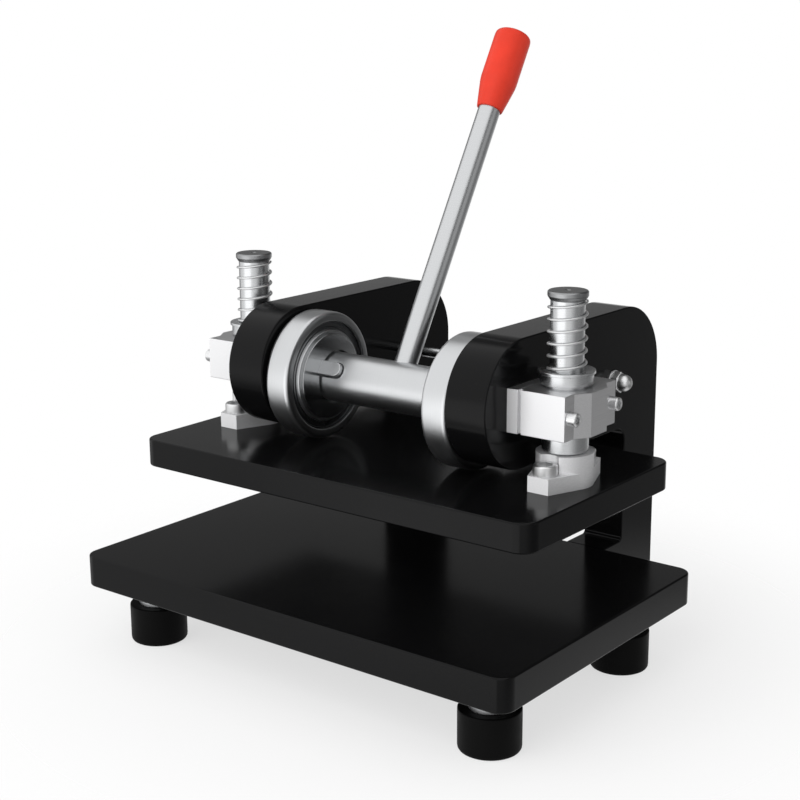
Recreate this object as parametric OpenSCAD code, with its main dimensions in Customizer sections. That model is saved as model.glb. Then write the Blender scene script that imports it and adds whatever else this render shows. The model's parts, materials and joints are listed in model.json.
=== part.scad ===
// Bench press for die cutting: a hand lever turns a shaft with two eccentric ball bearings,
// which push a guided press plate down towards a base plate. Return springs lift it again.
// Units are millimetres, +Z is up, -Y is the operator's side and Z = 0 is under the feet.

/* [Plates] */
// Width of the base plate, left to right
base_w = 360; // [340:1:400]
// Depth of the base plate, front to back
base_d = 230; // [215:1:260]
// Thickness of the base plate
base_t = 22.5; // [16:0.5:28]
// Corner radius of the base plate
base_corner = 11; // [4:0.5:20]
// Width of the press plate, left to right
press_w = 328; // [315:1:350]
// Depth of the press plate, front to back
press_d = 177; // [150:1:185]
// Thickness of the press plate
press_t = 19.5; // [16:0.5:24]
// Corner radius of the press plate
press_corner = 12; // [4:0.5:20]
// Open height between the two plates at rest
die_gap = 58; // [45:0.5:70]
// Bevel along the edges of both plates
plate_bevel = 1.2; // [0.5:0.1:2]

/* [Feet] */
// Diameter of each rubber foot
foot_d = 40; // [30:0.5:50]
// Height of each rubber foot
foot_h = 39.5; // [30:0.5:50]
// Rounding of the foot's lower edge
foot_round = 3; // [1:0.5:6]
// Diameter of the spacer between foot and plate
spacer_d = 27; // [22:0.5:34]
// Height of the spacer between foot and plate
spacer_h = 4; // [2:0.5:8]
// Distance from the plate's side edge to a foot's axis
foot_inset_x = 35.5; // [30:0.5:60]
// Distance from the plate's front or back edge to a foot's axis
foot_inset_y = 37; // [30:0.5:60]

/* [Side arms] */
// Thickness of each side arm
arm_t = 31; // [26:0.5:36]
// Half the distance between the inner faces of the arms
arm_inside = 78; // [70:0.5:84]
// Radius of the rounded front end of an arm
nose_r = 43; // [40:0.5:46]
// Centre of the rounded front end, measured back from the base plate's middle
nose_y = 8; // [0:0.5:16]
// Height of an arm's top edge over the shaft axis
arm_crown = 49.5; // [46:0.5:54]
// Distance from the base plate's back edge to the throat face
throat_set = 24; // [15:0.5:35]
// Depth of an arm's upright column
column_d = 45; // [36:0.5:60]
// Radius of the upper back corner of an arm
arm_back_r = 46; // [20:0.5:60]
// Radius of the lower back corner of an arm
arm_heel_r = 12; // [5:0.5:20]
// Fillet at the top of the throat
throat_r = 10; // [4:0.5:16]
// Fillet at the foot of the throat
throat_foot_r = 3; // [1:0.5:6]
// Thickness of the ledge under the base plate
ledge_t = 20; // [15:0.5:26]
// Reach of the ledge forward of the base plate's back edge
ledge_reach = 135; // [100:1:150]

/* [Drive shaft and handle] */
// Diameter of the drive shaft
shaft_d = 35; // [30:0.5:35.5]
// Distance from the shaft axis back to the guide posts
shaft_lead = 2; // [0:0.5:3]
// Outer diameter of a shaft bush
shaft_bush_d = 45; // [42:0.5:50]
// Flange diameter of a shaft bush
shaft_bush_flange_d = 54; // [50:0.5:60]
// Diameter of the handle rod
rod_d = 16; // [12:0.5:20]
// Length of the handle rod from the shaft axis to the grip
rod_reach = 211; // [150:1:300]
// Lean of the handle towards the back at rest, in degrees
handle_lean = 30.5; // [15:0.5:40]
// Length of the grip
grip_l = 60; // [45:0.5:80]
// Largest diameter of the grip
grip_d = 26.4; // [22:0.2:32]
// Diameter of the grip at its lower end
grip_neck_d = 19; // [18.2:0.2:22]
// Length of the grip's flared lower part
grip_flare = 21; // [10:0.5:30]
// Width of the shaft keys
key_w = 10; // [6:0.5:12]
// Length of the shaft keys
key_l = 40; // [30:0.5:42]
// Direction of the shaft keys at rest, in degrees from the back over the top
key_angle = 150; // [140:1:180]

/* [Eccentric bearings] */
// Outer diameter of a bearing
ring_d = 90; // [84:0.5:94]
// Width of a bearing
ring_w = 20; // [16:0.5:24]
// Bore of a bearing
bearing_bore = 50; // [49:0.5:52]
// Outer diameter of a bearing's inner ring
race_d = 66; // [60:0.5:68]
// Diameter of the bearing balls
ball_d = 11; // [8:0.5:12]
// Balls in each bearing
ball_count = 11; // [8:1:14]
// Offset of the eccentrics from the shaft axis
throw = 6; // [3:0.5:6.5]
// Direction of the offset at rest, in degrees from the back over the top
throw_angle = 165; // [150:1:180]
// Gap between bearing and press plate at rest
roller_gap = 0.6; // [0.4:0.1:2]
// Gap between a bearing and its arm
bearing_side_gap = 1.2; // [1:0.1:3]

/* [Guides] */
// Guide post axis, measured sideways from the middle
post_x = 133.5; // [130:0.5:138]
// Guide post axis, measured back from the base plate's middle
post_y = 20; // [15:0.5:25]
// Diameter of the guide posts
post_d = 22; // [18:0.5:24]
// Depth of the guide posts in the press plate
post_seat = 12; // [8:0.5:14]
// Diameter of the post caps
cap_d = 26; // [26:0.5:32]
// Height of the post caps
cap_h = 6; // [5:0.5:12]
// Outer diameter of the guide bush in its block
guide_bush_d = 30; // [28:0.5:32]
// Diameter of the bush collar above the block
bush_collar_d = 34.5; // [33:0.5:38]
// Height of the bush collar above the block
bush_collar_h = 8; // [5:0.5:14]
// Diameter of the spring seat on top of the bush
spring_seat_d = 37; // [35:0.5:42]
// Thickness of the spring seat
spring_seat_h = 2; // [1:0.5:4]
// Gap between the bush and the post flange at rest, where the press stops
stop_gap = 0.5; // [0.4:0.1:3]
// Height of a guide block
block_h = 29; // [24:0.5:34]
// Height of the block's middle over the shaft axis
block_lift = 6; // [3:0.5:8]
// Length of a guide block, front to back
block_l = 61; // [57:0.5:70]
// Reach of the block's nose beyond the post axis
block_nose = 24.5; // [22:0.5:27]
// Width of the flat on the block's nose
block_nose_w = 19; // [14:0.5:24]
// Depth of the steps that take the block screws
block_step = 6.5; // [5:0.5:10]
// Width of the steps that take the block screws
block_ear = 11; // [10.5:0.5:13]
// Thickness of the mounting plate behind a block
mount_plate_t = 8; // [5:0.5:9]
// Width of the groove between block and mounting plate
seam_w = 2.6; // [1:0.1:3]
// Depth of the groove between block and mounting plate
seam_depth = 3; // [1:0.5:5]
// Length of a post flange, tip to tip
flange_l = 63; // [60:0.5:76]
// Width of a post flange's tips
flange_tip_w = 15.5; // [14.5:0.5:18]
// Thickness of a post flange
flange_t = 10.5; // [7:0.5:12]
// Diameter of a post flange's collar
flange_collar_d = 37.4; // [34:0.2:40]
// Height of a post flange's collar over the press plate
flange_collar_h = 21.5; // [16:0.5:22]

/* [Return springs] */
// Gap between a return spring and its post
spring_clear = 0.4; // [0.4:0.1:1.5]
// Wire diameter of a return spring
spring_wire = 1.6; // [1.4:0.1:2]
// Coils of a return spring
spring_coils = 5.5; // [4.5:0.5:8]
// Length of a return spring at rest
spring_l = 44.5; // [38:0.5:55]

/* [Tie rod and screws] */
// Diameter of the tie rod
tie_d = 8; // [6:0.5:12]
// Tie rod axis, measured back from the shaft axis
tie_back = 103; // [95:0.5:110]
// Width of the tie rod's cap nuts across flats
tie_nut_af = 13; // [12:0.5:19]
// Height of a cap nut's hexagon
tie_nut_h = 6.5; // [4:0.5:10]
// Shank diameter of the guide block screws
screw_d = 5; // [4:0.5:6]
// Head diameter of the guide block screws
screw_head_d = 9; // [8:0.5:10.5]
// Head height of the guide block screws
screw_head_h = 6.5; // [5:0.5:9]
// Shank diameter of the frame and foot screws
bolt_d = 8; // [6:0.5:10]
// Head diameter of the frame and foot screws
bolt_head_d = 13; // [12:0.5:14]
// Head height of the frame and foot screws
bolt_head_h = 8; // [6:0.5:10]
// Diameter of the screws in the post flanges
flange_bolt_d = 10; // [8:0.5:10]
// Head diameter of the flange screws
flange_bolt_head_d = 16; // [14:0.5:17]
// Head height of the flange screws
flange_bolt_head_h = 7; // [5:0.5:10]
// Depth of a screw's grip in the piece it holds to
screw_grip = 12; // [8:0.5:14]

/* [Hidden] */
// Clearances: running fits between moving pieces, and seats of fixed pieces
run = 0.05;
seat = 0.03;
eps = 0.01;
$fn = 64;

// Heights over the floor
base_bottom = foot_h + spacer_h;
base_top = base_bottom + base_t;
press_bottom = base_top + die_gap;
press_top = press_bottom + press_t;

// Shaft, eccentric centre and arm outline, in the side view
shaft_y = post_y - shaft_lead;
ecc_dy = throw * cos(throw_angle);
ecc_dz = throw * sin(throw_angle);
shaft_z = press_top + roller_gap + ring_d / 2 - ecc_dz;
arm_top = shaft_z + arm_crown;
nose_z = arm_top - nose_r;
leg_under = nose_z - nose_r;
base_back = base_d / 2;
throat_y = base_back + throat_set;
arm_back = throat_y + column_d;
ledge_bottom = base_bottom - ledge_t;
ledge_front = base_back - ledge_reach;
plate_gap = 0.3;

// The frame's Y origin is the middle of the whole machine
frame_y = (arm_back - base_back) / 2;

// Positions along X
arm_outside = arm_inside + arm_t;
ring_out = arm_inside - bearing_side_gap;
ring_in = ring_out - ring_w;
ecc_flange_t = 2;
ecc_flange_d = race_d - 6;
shaft_end_gap = 0.5;
shaft_half = arm_outside - shaft_end_gap;
shaft_bush_l = arm_t - screw_grip - 3;
shaft_free = 0.3;
thrust_gap = 0.2;
key_depth = 5;
key_rise = 3.3;

// Guide stack heights
block_z = shaft_z + block_lift;
block_top = block_z + block_h / 2;
block_bottom = block_z - block_h / 2;
bush_tail = block_bottom - press_top - flange_collar_h - stop_gap;
seat_top = block_top + bush_collar_h + spring_seat_h;
cap_bottom = seat_top + spring_l;
post_bottom = press_top - post_seat;
post_clear = run;

// Block plan
block_in = arm_outside + mount_plate_t;
block_out = post_x + block_nose;
step_x = block_out - block_step;
ear_y = block_l / 2 - block_ear / 2;
nose_half = block_nose_w / 2;

// Screws
flange_screw_y = flange_l / 2 - flange_bolt_head_d / 2 - 0.5;
socket_share = 0.5;
foot_x = base_w / 2 - foot_inset_x;
foot_y = base_d / 2 - foot_inset_y;
foot_counterbore = 22;
arm_bolt_x = arm_inside + arm_t / 2;
arm_bolt_shares = [0.13, 0.46, 0.84];
arm_bolt_ys = [for (share = arm_bolt_shares) ledge_front + share * ledge_reach];
tie_y = shaft_y + tie_back;
tie_z = shaft_z;

// Bearing details
shield_r = race_d / 2 + (ring_d - race_d) / 4 - 0.6;
shield_t = 1.2;
shield_recess = 0.9;
groove_clear = 0.1;
ball_orbit = (race_d / 2 + shield_r) / 2;
ring_chamfer = 2.4;

// Spring wire path: rings of points along a helix, joined with triangles
curl_rings = 16;
coil_start = 218;
wire_sides = 6;
coil_r = post_d / 2 + spring_clear + spring_wire / 2;
coil_steps = spring_coils * curl_rings;
coil_rise = spring_l - spring_wire;
function coil_point(i) =
    let (a = coil_start + 360 * i / curl_rings)
    [coil_r * cos(a), coil_r * sin(a), spring_wire / 2 + coil_rise * i / coil_steps];
function wire_point(i, j) =
    let (a = coil_start + 360 * i / curl_rings,
         b = 360 * j / wire_sides,
         reach = coil_r + spring_wire / 2 * cos(b))
    [reach * cos(a), reach * sin(a), coil_point(i)[2] + spring_wire / 2 * sin(b)];
coil_gap = min([for (i = [0 : coil_steps - curl_rings])
    norm(coil_point(i + curl_rings) - coil_point(i))]) - spring_wire;
echo(least_gap_between_spring_coils = coil_gap);

black = [0.07, 0.07, 0.075];
steel = [0.78, 0.79, 0.8];
bright = [0.86, 0.87, 0.88];
dark_steel = [0.3, 0.31, 0.32];
bronze = [0.7, 0.52, 0.3];
rubber = [0.05, 0.05, 0.05];
red = [0.75, 0.07, 0.06];

// Moves the model's Y origin from the base plate's middle to the machine's middle
module place() {
    translate([0, -frame_y, 0]) children();
}

// Right-hand pieces are drawn at +X; side = -1 gives the mirrored left-hand piece
module on_side(side) {
    mirror([side < 0 ? 1 : 0, 0, 0]) children();
}

// A side-view outline (Y, Z) pushed along +X from x by t
module slab(x, t) {
    translate([x, 0, 0]) rotate([90, 0, 90]) linear_extrude(t) children();
}

// A round bar along X through side-view point (y, z)
module bar_x(x, l, y, z, d) {
    translate([x, y, z]) rotate([0, 90, 0]) cylinder(d = d, h = l);
}

// A plate with rounded corners and both edges bevelled, its underside at z = 0
module bevelled_plate(w, d, t, r) {
    rotate([90, 0, 0]) linear_extrude(d - 2 * r, center = true) bevelled_section(-w / 2, w / 2, t);
    rotate([90, 0, 90]) linear_extrude(w - 2 * r, center = true) bevelled_section(-d / 2, d / 2, t);
    for (sx = [-1, 1])
        for (sy = [-1, 1])
            translate([sx * (w / 2 - r), sy * (d / 2 - r), 0]) rotate_extrude() intersection() {
                bevelled_section(-r, r, t);
                square([r, t]);
            }
}

module bevelled_section(left, right, t) {
    c = plate_bevel;
    polygon([[left + c, 0], [right - c, 0], [right, c], [right, t - c],
        [right - c, t], [left + c, t], [left, t - c], [left, c]]);
}

// A socket-head screw pointing down, with the underside of its head at z = 0
module socket_screw(d, grip, head_d, head_h) {
    difference() {
        union() {
            translate([0, 0, -grip]) cylinder(d = d, h = grip + eps);
            cylinder(d = head_d, h = head_h);
        }
        translate([0, 0, head_h * (1 - socket_share)])
            cylinder(d = d / cos(30) * 0.82, h = head_h, $fn = 6);
    }
}

module foot_places() {
    for (sx = [-1, 1])
        for (sy = [-1, 1])
            translate([sx * foot_x, sy * foot_y, 0]) children();
}

// Base plate, drilled from below for the feet and the arms
module base_plate() {
    color(black) place() difference() {
        translate([0, 0, base_bottom]) bevelled_plate(base_w, base_d, base_t, base_corner);
        foot_places()
            translate([0, 0, base_bottom - eps]) cylinder(d = bolt_d + 2 * seat, h = screw_grip + 1);
        arm_bolt_places()
            translate([0, 0, base_bottom - eps]) cylinder(d = bolt_d + 2 * seat, h = screw_grip + 1);
    }
}

module foot(sx, sy) {
    color(rubber) place() translate([sx * foot_x, sy * foot_y, 0]) difference() {
        rotate_extrude() {
            square([foot_d / 2 - foot_round, foot_h]);
            translate([0, foot_round]) square([foot_d / 2, foot_h - foot_round]);
            translate([foot_d / 2 - foot_round, foot_round]) circle(foot_round);
        }
        translate([0, 0, -eps]) cylinder(d = bolt_d + 2 * seat, h = foot_h + 1);
        translate([0, 0, -eps]) cylinder(d = bolt_head_d + 1, h = foot_counterbore);
    }
}

module foot_spacers() {
    color(steel) place() foot_places() translate([0, 0, foot_h]) difference() {
        cylinder(d = spacer_d, h = spacer_h);
        translate([0, 0, -eps]) cylinder(d = bolt_d + 2 * seat, h = spacer_h + 2 * eps);
    }
}

module foot_screws() {
    color(dark_steel) place() foot_places() translate([0, 0, foot_counterbore]) mirror([0, 0, 1])
        socket_screw(bolt_d, base_bottom + screw_grip - foot_counterbore, bolt_head_d, bolt_head_h);
}

module arm_bolt_places() {
    for (sx = [-1, 1])
        for (y = arm_bolt_ys)
            translate([sx * arm_bolt_x, y, 0]) children();
}

// Side view of an arm: rounded nose, flat top, upright column behind the plates and a ledge
// that runs forward under the base plate
module arm_outline() {
    difference() {
        union() {
            translate([nose_y, nose_z]) circle(nose_r);
            translate([nose_y, leg_under]) square([arm_back - nose_y, 2 * nose_r]);
            translate([throat_y, ledge_bottom]) square([column_d, arm_top - ledge_bottom]);
            translate([base_back + plate_gap, ledge_bottom])
                square([arm_back - base_back - plate_gap, base_top - ledge_bottom]);
            translate([ledge_front, ledge_bottom]) square([arm_back - ledge_front, ledge_t]);
            translate([throat_y - throat_r, leg_under - throat_r])
                square([throat_r + eps, throat_r + eps]);
            translate([throat_y - throat_foot_r, base_top - eps])
                square([throat_foot_r + eps, throat_foot_r + eps]);
        }
        translate([throat_y - throat_r, leg_under - throat_r]) circle(throat_r);
        translate([throat_y - throat_foot_r, base_top + throat_foot_r]) circle(throat_foot_r);
        translate([arm_back - arm_back_r, arm_top - arm_back_r]) difference() {
            square([arm_back_r + 1, arm_back_r + 1]);
            circle(arm_back_r);
        }
        translate([arm_back - arm_heel_r, ledge_bottom + arm_heel_r]) difference() {
            translate([0, -arm_heel_r - 1]) square([arm_heel_r + 1, arm_heel_r + 1]);
            circle(arm_heel_r);
        }
    }
}

module arm(side) {
    color(black) place() on_side(side) difference() {
        slab(arm_inside, arm_t) arm_outline();
        bar_x(arm_inside - 1, shaft_bush_l + 1, shaft_y, shaft_z, shaft_bush_d + 2 * seat);
        bar_x(arm_inside - 1, arm_t + 2, shaft_y, shaft_z, shaft_d + 2 * shaft_free);
        bar_x(arm_inside - 1, arm_t + 2, tie_y, tie_z, tie_d + 2 * seat);
        for (s = [-1, 1])
            bar_x(arm_outside - screw_grip - 1, screw_grip + 2, post_y + s * ear_y, block_z,
                screw_d + 2 * seat);
        for (y = arm_bolt_ys)
            translate([arm_bolt_x, y, ledge_bottom - 1]) {
                cylinder(d = bolt_d + 2 * seat, h = ledge_t + 2);
                cylinder(d = bolt_head_d + 1, h = bolt_head_h + 1);
            }
    }
}

// Screws up through the ledges into the base plate
module arm_screws() {
    color(dark_steel) place() arm_bolt_places()
        translate([0, 0, ledge_bottom + bolt_head_h]) mirror([0, 0, 1])
            socket_screw(bolt_d, ledge_t - bolt_head_h + screw_grip, bolt_head_d, bolt_head_h);
}

// Flanged bronze bush in an arm, its flange taking the eccentric's side thrust
module shaft_bush(side) {
    color(bronze) place() on_side(side) difference() {
        union() {
            bar_x(arm_inside, shaft_bush_l, shaft_y, shaft_z, shaft_bush_d);
            bar_x(ring_out + thrust_gap, bearing_side_gap - thrust_gap, shaft_y, shaft_z,
                shaft_bush_flange_d);
        }
        bar_x(ring_out - 1, arm_t + bearing_side_gap + 2, shaft_y, shaft_z, shaft_d + 2 * run);
    }
}

module tie_rod() {
    color(steel) place() bar_x(-arm_outside - tie_nut_h, 2 * (arm_outside + tie_nut_h),
        tie_y, tie_z, tie_d);
}

// Domed cap nuts at both ends of the tie rod
module tie_nuts() {
    nut_r = tie_nut_af / 2;
    color(bright) place() for (side = [-1, 1]) on_side(side)
        translate([arm_outside, tie_y, tie_z]) rotate([0, 90, 0]) difference() {
            union() {
                cylinder(r = nut_r / cos(30), h = tie_nut_h, $fn = 6);
                translate([0, 0, tie_nut_h - eps]) cylinder(r = nut_r - 0.5, h = 2);
                translate([0, 0, tie_nut_h + 2 - eps]) intersection() {
                    sphere(nut_r - 0.5);
                    cylinder(r = nut_r, h = nut_r);
                }
            }
            translate([0, 0, -eps]) cylinder(d = tie_d + 2 * seat, h = tie_nut_h + eps + 0.2);
        }
}

module mount_plate(side) {
    color(steel) place() on_side(side) difference() {
        translate([arm_outside, post_y - block_l / 2, block_bottom])
            cube([mount_plate_t, block_l, block_h]);
        for (s = [-1, 1])
            bar_x(arm_outside - 1, mount_plate_t + 2, post_y + s * ear_y, block_z,
                screw_d + 2 * seat);
    }
}

// Guide block seen from above: square ears front and back, and a nose round the bush
module block_plan() {
    front = -block_l / 2;
    difference() {
        polygon([
            [block_in, front], [step_x, front], [step_x, front + block_ear],
            [block_out, -nose_half], [block_out, nose_half],
            [step_x, -front - block_ear], [step_x, -front], [block_in, -front]]);
        for (s = [-1, 1])
            translate([block_in + seam_w / 2 - eps, s * block_l / 2])
                square([seam_w + 2 * eps, 2 * seam_depth], center = true);
        translate([post_x, 0]) circle(d = guide_bush_d + 2 * seat);
    }
}

module guide_block(side) {
    color(steel) place() on_side(side) difference() {
        translate([0, post_y, block_bottom]) linear_extrude(block_h) block_plan();
        for (s = [-1, 1])
            bar_x(block_in - 1, block_step + block_nose + post_x, post_y + s * ear_y, block_z,
                screw_d + 2 * seat);
    }
}

// Screws through the block ears and the mounting plates into the arms
module block_screws() {
    color(bright) place() for (side = [-1, 1]) on_side(side) for (s = [-1, 1])
        translate([step_x, post_y + s * ear_y, block_z]) rotate([0, 90, 0])
            socket_screw(screw_d, step_x - arm_outside + screw_grip, screw_head_d, screw_head_h);
}

// Bush with a collar on the block and a wider seat for the spring
module guide_bush(side) {
    color(bright) place() on_side(side) translate([post_x, post_y, 0]) difference() {
        union() {
            translate([0, 0, block_bottom - bush_tail])
                cylinder(d = guide_bush_d, h = bush_tail + block_h + eps);
            translate([0, 0, block_top]) cylinder(d = bush_collar_d, h = bush_collar_h + eps);
            translate([0, 0, seat_top - spring_seat_h])
                cylinder(d = spring_seat_d, h = spring_seat_h);
        }
        translate([0, 0, block_bottom - bush_tail - 1])
            cylinder(d = post_d + 2 * post_clear, h = seat_top - block_bottom + bush_tail + 2);
    }
}

module flange_screw_places() {
    for (sx = [-1, 1])
        for (sy = [-1, 1])
            translate([sx * post_x, post_y + sy * flange_screw_y, 0]) children();
}

module press_plate() {
    color(black) place() difference() {
        translate([0, post_y, press_bottom]) bevelled_plate(press_w, press_d, press_t, press_corner);
        for (sx = [-1, 1])
            translate([sx * post_x, post_y, post_bottom]) cylinder(d = post_d + 2 * seat, h = post_seat + 1);
        flange_screw_places()
            translate([0, 0, press_top - screw_grip - 1])
                cylinder(d = flange_bolt_d + 2 * seat, h = screw_grip + 2);
    }
}

// Straight sides from a round middle to two flat tips; the collar fills the middle
module flange_outline() {
    r = flange_collar_d / 2 - run;
    tip = [flange_tip_w / 2, flange_l / 2];
    touch = atan2(tip[1], tip[0]) - acos(r / norm(tip));
    side = [r * cos(touch), r * sin(touch)];
    polygon([
        [tip[0], -tip[1]], [side[0], -side[1]], [side[0], side[1]], [tip[0], tip[1]],
        [-tip[0], tip[1]], [-side[0], side[1]], [-side[0], -side[1]], [-tip[0], -tip[1]]]);
}

module post_flange(side) {
    color(steel) place() on_side(side) translate([post_x, post_y, press_top]) difference() {
        union() {
            linear_extrude(flange_t) flange_outline();
            cylinder(d = flange_collar_d, h = flange_collar_h);
        }
        translate([0, 0, -1]) cylinder(d = post_d + 2 * seat, h = flange_collar_h + 2);
        for (s = [-1, 1])
            translate([0, s * flange_screw_y, -1]) {
                cylinder(d = flange_bolt_d + 2 * seat, h = flange_t + 2);
                translate([0, 0, flange_t + 1])
                    cylinder(d = flange_bolt_head_d + 1, h = flange_collar_h);
            }
    }
}

module flange_screws() {
    color(bright) place() flange_screw_places() translate([0, 0, press_top + flange_t])
        socket_screw(flange_bolt_d, flange_t + screw_grip, flange_bolt_head_d, flange_bolt_head_h);
}

module guide_post(side) {
    color(bright) place() on_side(side) translate([post_x, post_y, post_bottom])
        cylinder(d = post_d, h = cap_bottom - post_bottom);
}

// Cap that holds the spring on its post, with a centre mark from turning
module post_cap(side) {
    mark_d = 4;
    color(dark_steel) place() on_side(side) translate([post_x, post_y, cap_bottom]) difference() {
        rotate_extrude() polygon([[0, 0], [cap_d / 2, 0], [cap_d / 2, cap_h - 1], [cap_d / 2 - 1, cap_h],
            [mark_d / 2, cap_h], [0, cap_h - mark_d / 2]]);
    }
}

// One unbroken helical wire between the spring seat and the post cap, wound alike on both sides
module return_spring(side) {
    points = [for (i = [0 : coil_steps]) for (j = [0 : wire_sides - 1]) wire_point(i, j)];
    sides = [for (i = [0 : coil_steps - 1]) for (j = [0 : wire_sides - 1])
        let (k = (j + 1) % wire_sides, a = i * wire_sides, b = a + wire_sides)
        each [[a + j, b + k, a + k], [a + j, b + j, b + k]]];
    last = coil_steps * wire_sides;
    ends = [for (j = [1 : wire_sides - 2]) each [[0, j, j + 1], [last, last + j + 1, last + j]]];
    color(bright) place() translate([side * post_x, post_y, seat_top])
        polyhedron(points, concat(sides, ends));
}

// Frame of the eccentrics: X along the shaft, the offset along +Y of this frame
module at_shaft() {
    translate([0, shaft_y, shaft_z]) rotate([throw_angle, 0, 0]) children();
}

// Frame of the shaft keys: the key stands out along +Y of this frame
module at_key() {
    translate([0, shaft_y, shaft_z]) rotate([key_angle, 0, 0]) children();
}

module key_solid(grow) {
    key_in = ring_out - key_l;
    w = key_w + 2 * grow;
    translate([key_in + key_w / 2, shaft_d / 2 - key_depth - grow, -w / 2])
        cube([key_l - key_w / 2, key_depth + key_rise + 2 * grow, w]);
    translate([key_in + key_w / 2, shaft_d / 2 - key_depth - grow, 0]) rotate([-90, 0, 0])
        cylinder(d = w, h = key_depth + key_rise + 2 * grow);
}

module shaft_key(side) {
    color(bright) place() on_side(side) at_key() key_solid(0);
}

// Shaft with keyways for the eccentrics and a cross hole for the handle
module drive_shaft() {
    color(bright) place() difference() {
        bar_x(-shaft_half, 2 * shaft_half, shaft_y, shaft_z, shaft_d);
        for (side = [-1, 1]) on_side(side) at_key() key_solid(seat);
        at_handle() translate([0, 0, -rod_d / 4]) cylinder(d = rod_d + 2 * seat, h = shaft_d);
    }
}

// Keyed hub whose seat for the bearing is offset from the shaft
module eccentric(side) {
    color(dark_steel) place() on_side(side) difference() {
        at_shaft() {
            bar_x(ring_in, ring_w, throw, 0, bearing_bore);
            bar_x(ring_in - ecc_flange_t, ecc_flange_t, throw, 0, ecc_flange_d);
        }
        bar_x(ring_in - ecc_flange_t - 1, ring_w + ecc_flange_t + 2, shaft_y, shaft_z, shaft_d + 2 * seat);
        at_key() key_solid(seat);
    }
}

// A ring turned about the bearing axis from a section drawn as (radius, distance along X)
module turned_on_bearing() {
    at_shaft() translate([(ring_in + ring_out) / 2, throw, 0]) rotate([0, 90, 0])
        rotate_extrude() children();
}

module inner_ring(side) {
    inner_r = bearing_bore / 2 + seat;
    color(bright) place() on_side(side) turned_on_bearing() difference() {
        translate([inner_r, -ring_w / 2]) square([race_d / 2 - inner_r, ring_w]);
        translate([ball_orbit, 0]) circle(ball_d / 2 + groove_clear);
    }
}

// Outer ring with its ball groove and the two steps that hold the shields
module bearing_ring(side) {
    shield_in = ring_w / 2 - shield_recess - shield_t;
    outer_r = ring_d / 2;
    color(bright) place() on_side(side) turned_on_bearing() difference() {
        polygon([
            [shield_r, -ring_w / 2], [outer_r - ring_chamfer, -ring_w / 2],
            [outer_r, ring_chamfer - ring_w / 2], [outer_r, ring_w / 2 - ring_chamfer],
            [outer_r - ring_chamfer, ring_w / 2], [shield_r, ring_w / 2],
            [shield_r, shield_in], [shield_r - 1, shield_in],
            [shield_r - 1, -shield_in], [shield_r, -shield_in]]);
        translate([ball_orbit, 0]) circle(ball_d / 2 + groove_clear);
    }
}

// Dished steel shields between the rings
module bearing_shields(side) {
    color(dark_steel) place() on_side(side) turned_on_bearing() for (s = [-1, 1])
        translate([race_d / 2 + run, s * (ring_w / 2 - shield_recess - shield_t / 2) - shield_t / 2])
            square([shield_r - seat - race_d / 2 - run, shield_t]);
}

module bearing_balls(side) {
    color(bright) place() on_side(side) at_shaft()
        translate([(ring_in + ring_out) / 2, throw, 0])
            for (i = [0 : ball_count - 1])
                rotate([360 * i / ball_count, 0, 0]) translate([0, ball_orbit, 0])
                    sphere(d = ball_d);
}

// Frame of the handle: +Z runs up the rod from the shaft axis
module at_handle() {
    translate([0, shaft_y, shaft_z]) rotate([-handle_lean, 0, 0]) children();
}

rod_in_grip = grip_l * 0.7;
module handle_rod() {
    color(bright) place() at_handle() translate([0, 0, -rod_d / 4 + seat])
        cylinder(d = rod_d, h = rod_reach + rod_in_grip + rod_d / 4);
}

// Tapered grip with a rounded flat top
module handle_grip() {
    round_r = 3;
    big_r = grip_d / 2;
    color(red) place() at_handle() translate([0, 0, rod_reach]) difference() {
        rotate_extrude() {
            polygon([[0, 0], [grip_neck_d / 2, 0], [big_r, grip_flare],
                [big_r, grip_l - round_r], [0, grip_l - round_r]]);
            translate([0, grip_l - round_r - eps]) square([big_r - round_r, round_r + eps]);
            translate([big_r - round_r, grip_l - round_r]) circle(round_r);
        }
        translate([0, 0, -1]) cylinder(d = rod_d + 2 * seat, h = rod_in_grip + 1 + 2 * seat);
    }
}

base_plate();
foot(-1, -1);  // foot_front_left
foot(1, -1);  // foot_front_right
foot(-1, 1);  // foot_back_left
foot(1, 1);  // foot_back_right
foot_spacers();
foot_screws();
arm(-1);  // arm_left
arm(1);  // arm_right
arm_screws();
shaft_bush(-1);  // shaft_bush_left
shaft_bush(1);  // shaft_bush_right
tie_rod();
tie_nuts();
mount_plate(-1);  // mount_plate_left
mount_plate(1);  // mount_plate_right
guide_block(-1);  // guide_block_left
guide_block(1);  // guide_block_right
block_screws();
guide_bush(-1);  // guide_bush_left
guide_bush(1);  // guide_bush_right
press_plate();
post_flange(-1);  // post_flange_left
post_flange(1);  // post_flange_right
flange_screws();
guide_post(-1);  // guide_post_left
guide_post(1);  // guide_post_right
post_cap(-1);  // post_cap_left
post_cap(1);  // post_cap_right
return_spring(-1);  // return_spring_left
return_spring(1);  // return_spring_right
drive_shaft();
shaft_key(-1);  // shaft_key_left
shaft_key(1);  // shaft_key_right
eccentric(-1);  // eccentric_left
eccentric(1);  // eccentric_right
inner_ring(-1);  // inner_ring_left
inner_ring(1);  // inner_ring_right
handle_rod();
handle_grip();
bearing_ring(-1);  // bearing_ring_left
bearing_ring(1);  // bearing_ring_right
bearing_shields(-1);  // bearing_shields_left
bearing_shields(1);  // bearing_shields_right
bearing_balls(-1);  // bearing_balls_left
bearing_balls(1);  // bearing_balls_right
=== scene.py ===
"""Hand-lever die cutting press, dressed for rendering on its CAD frame."""

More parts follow.
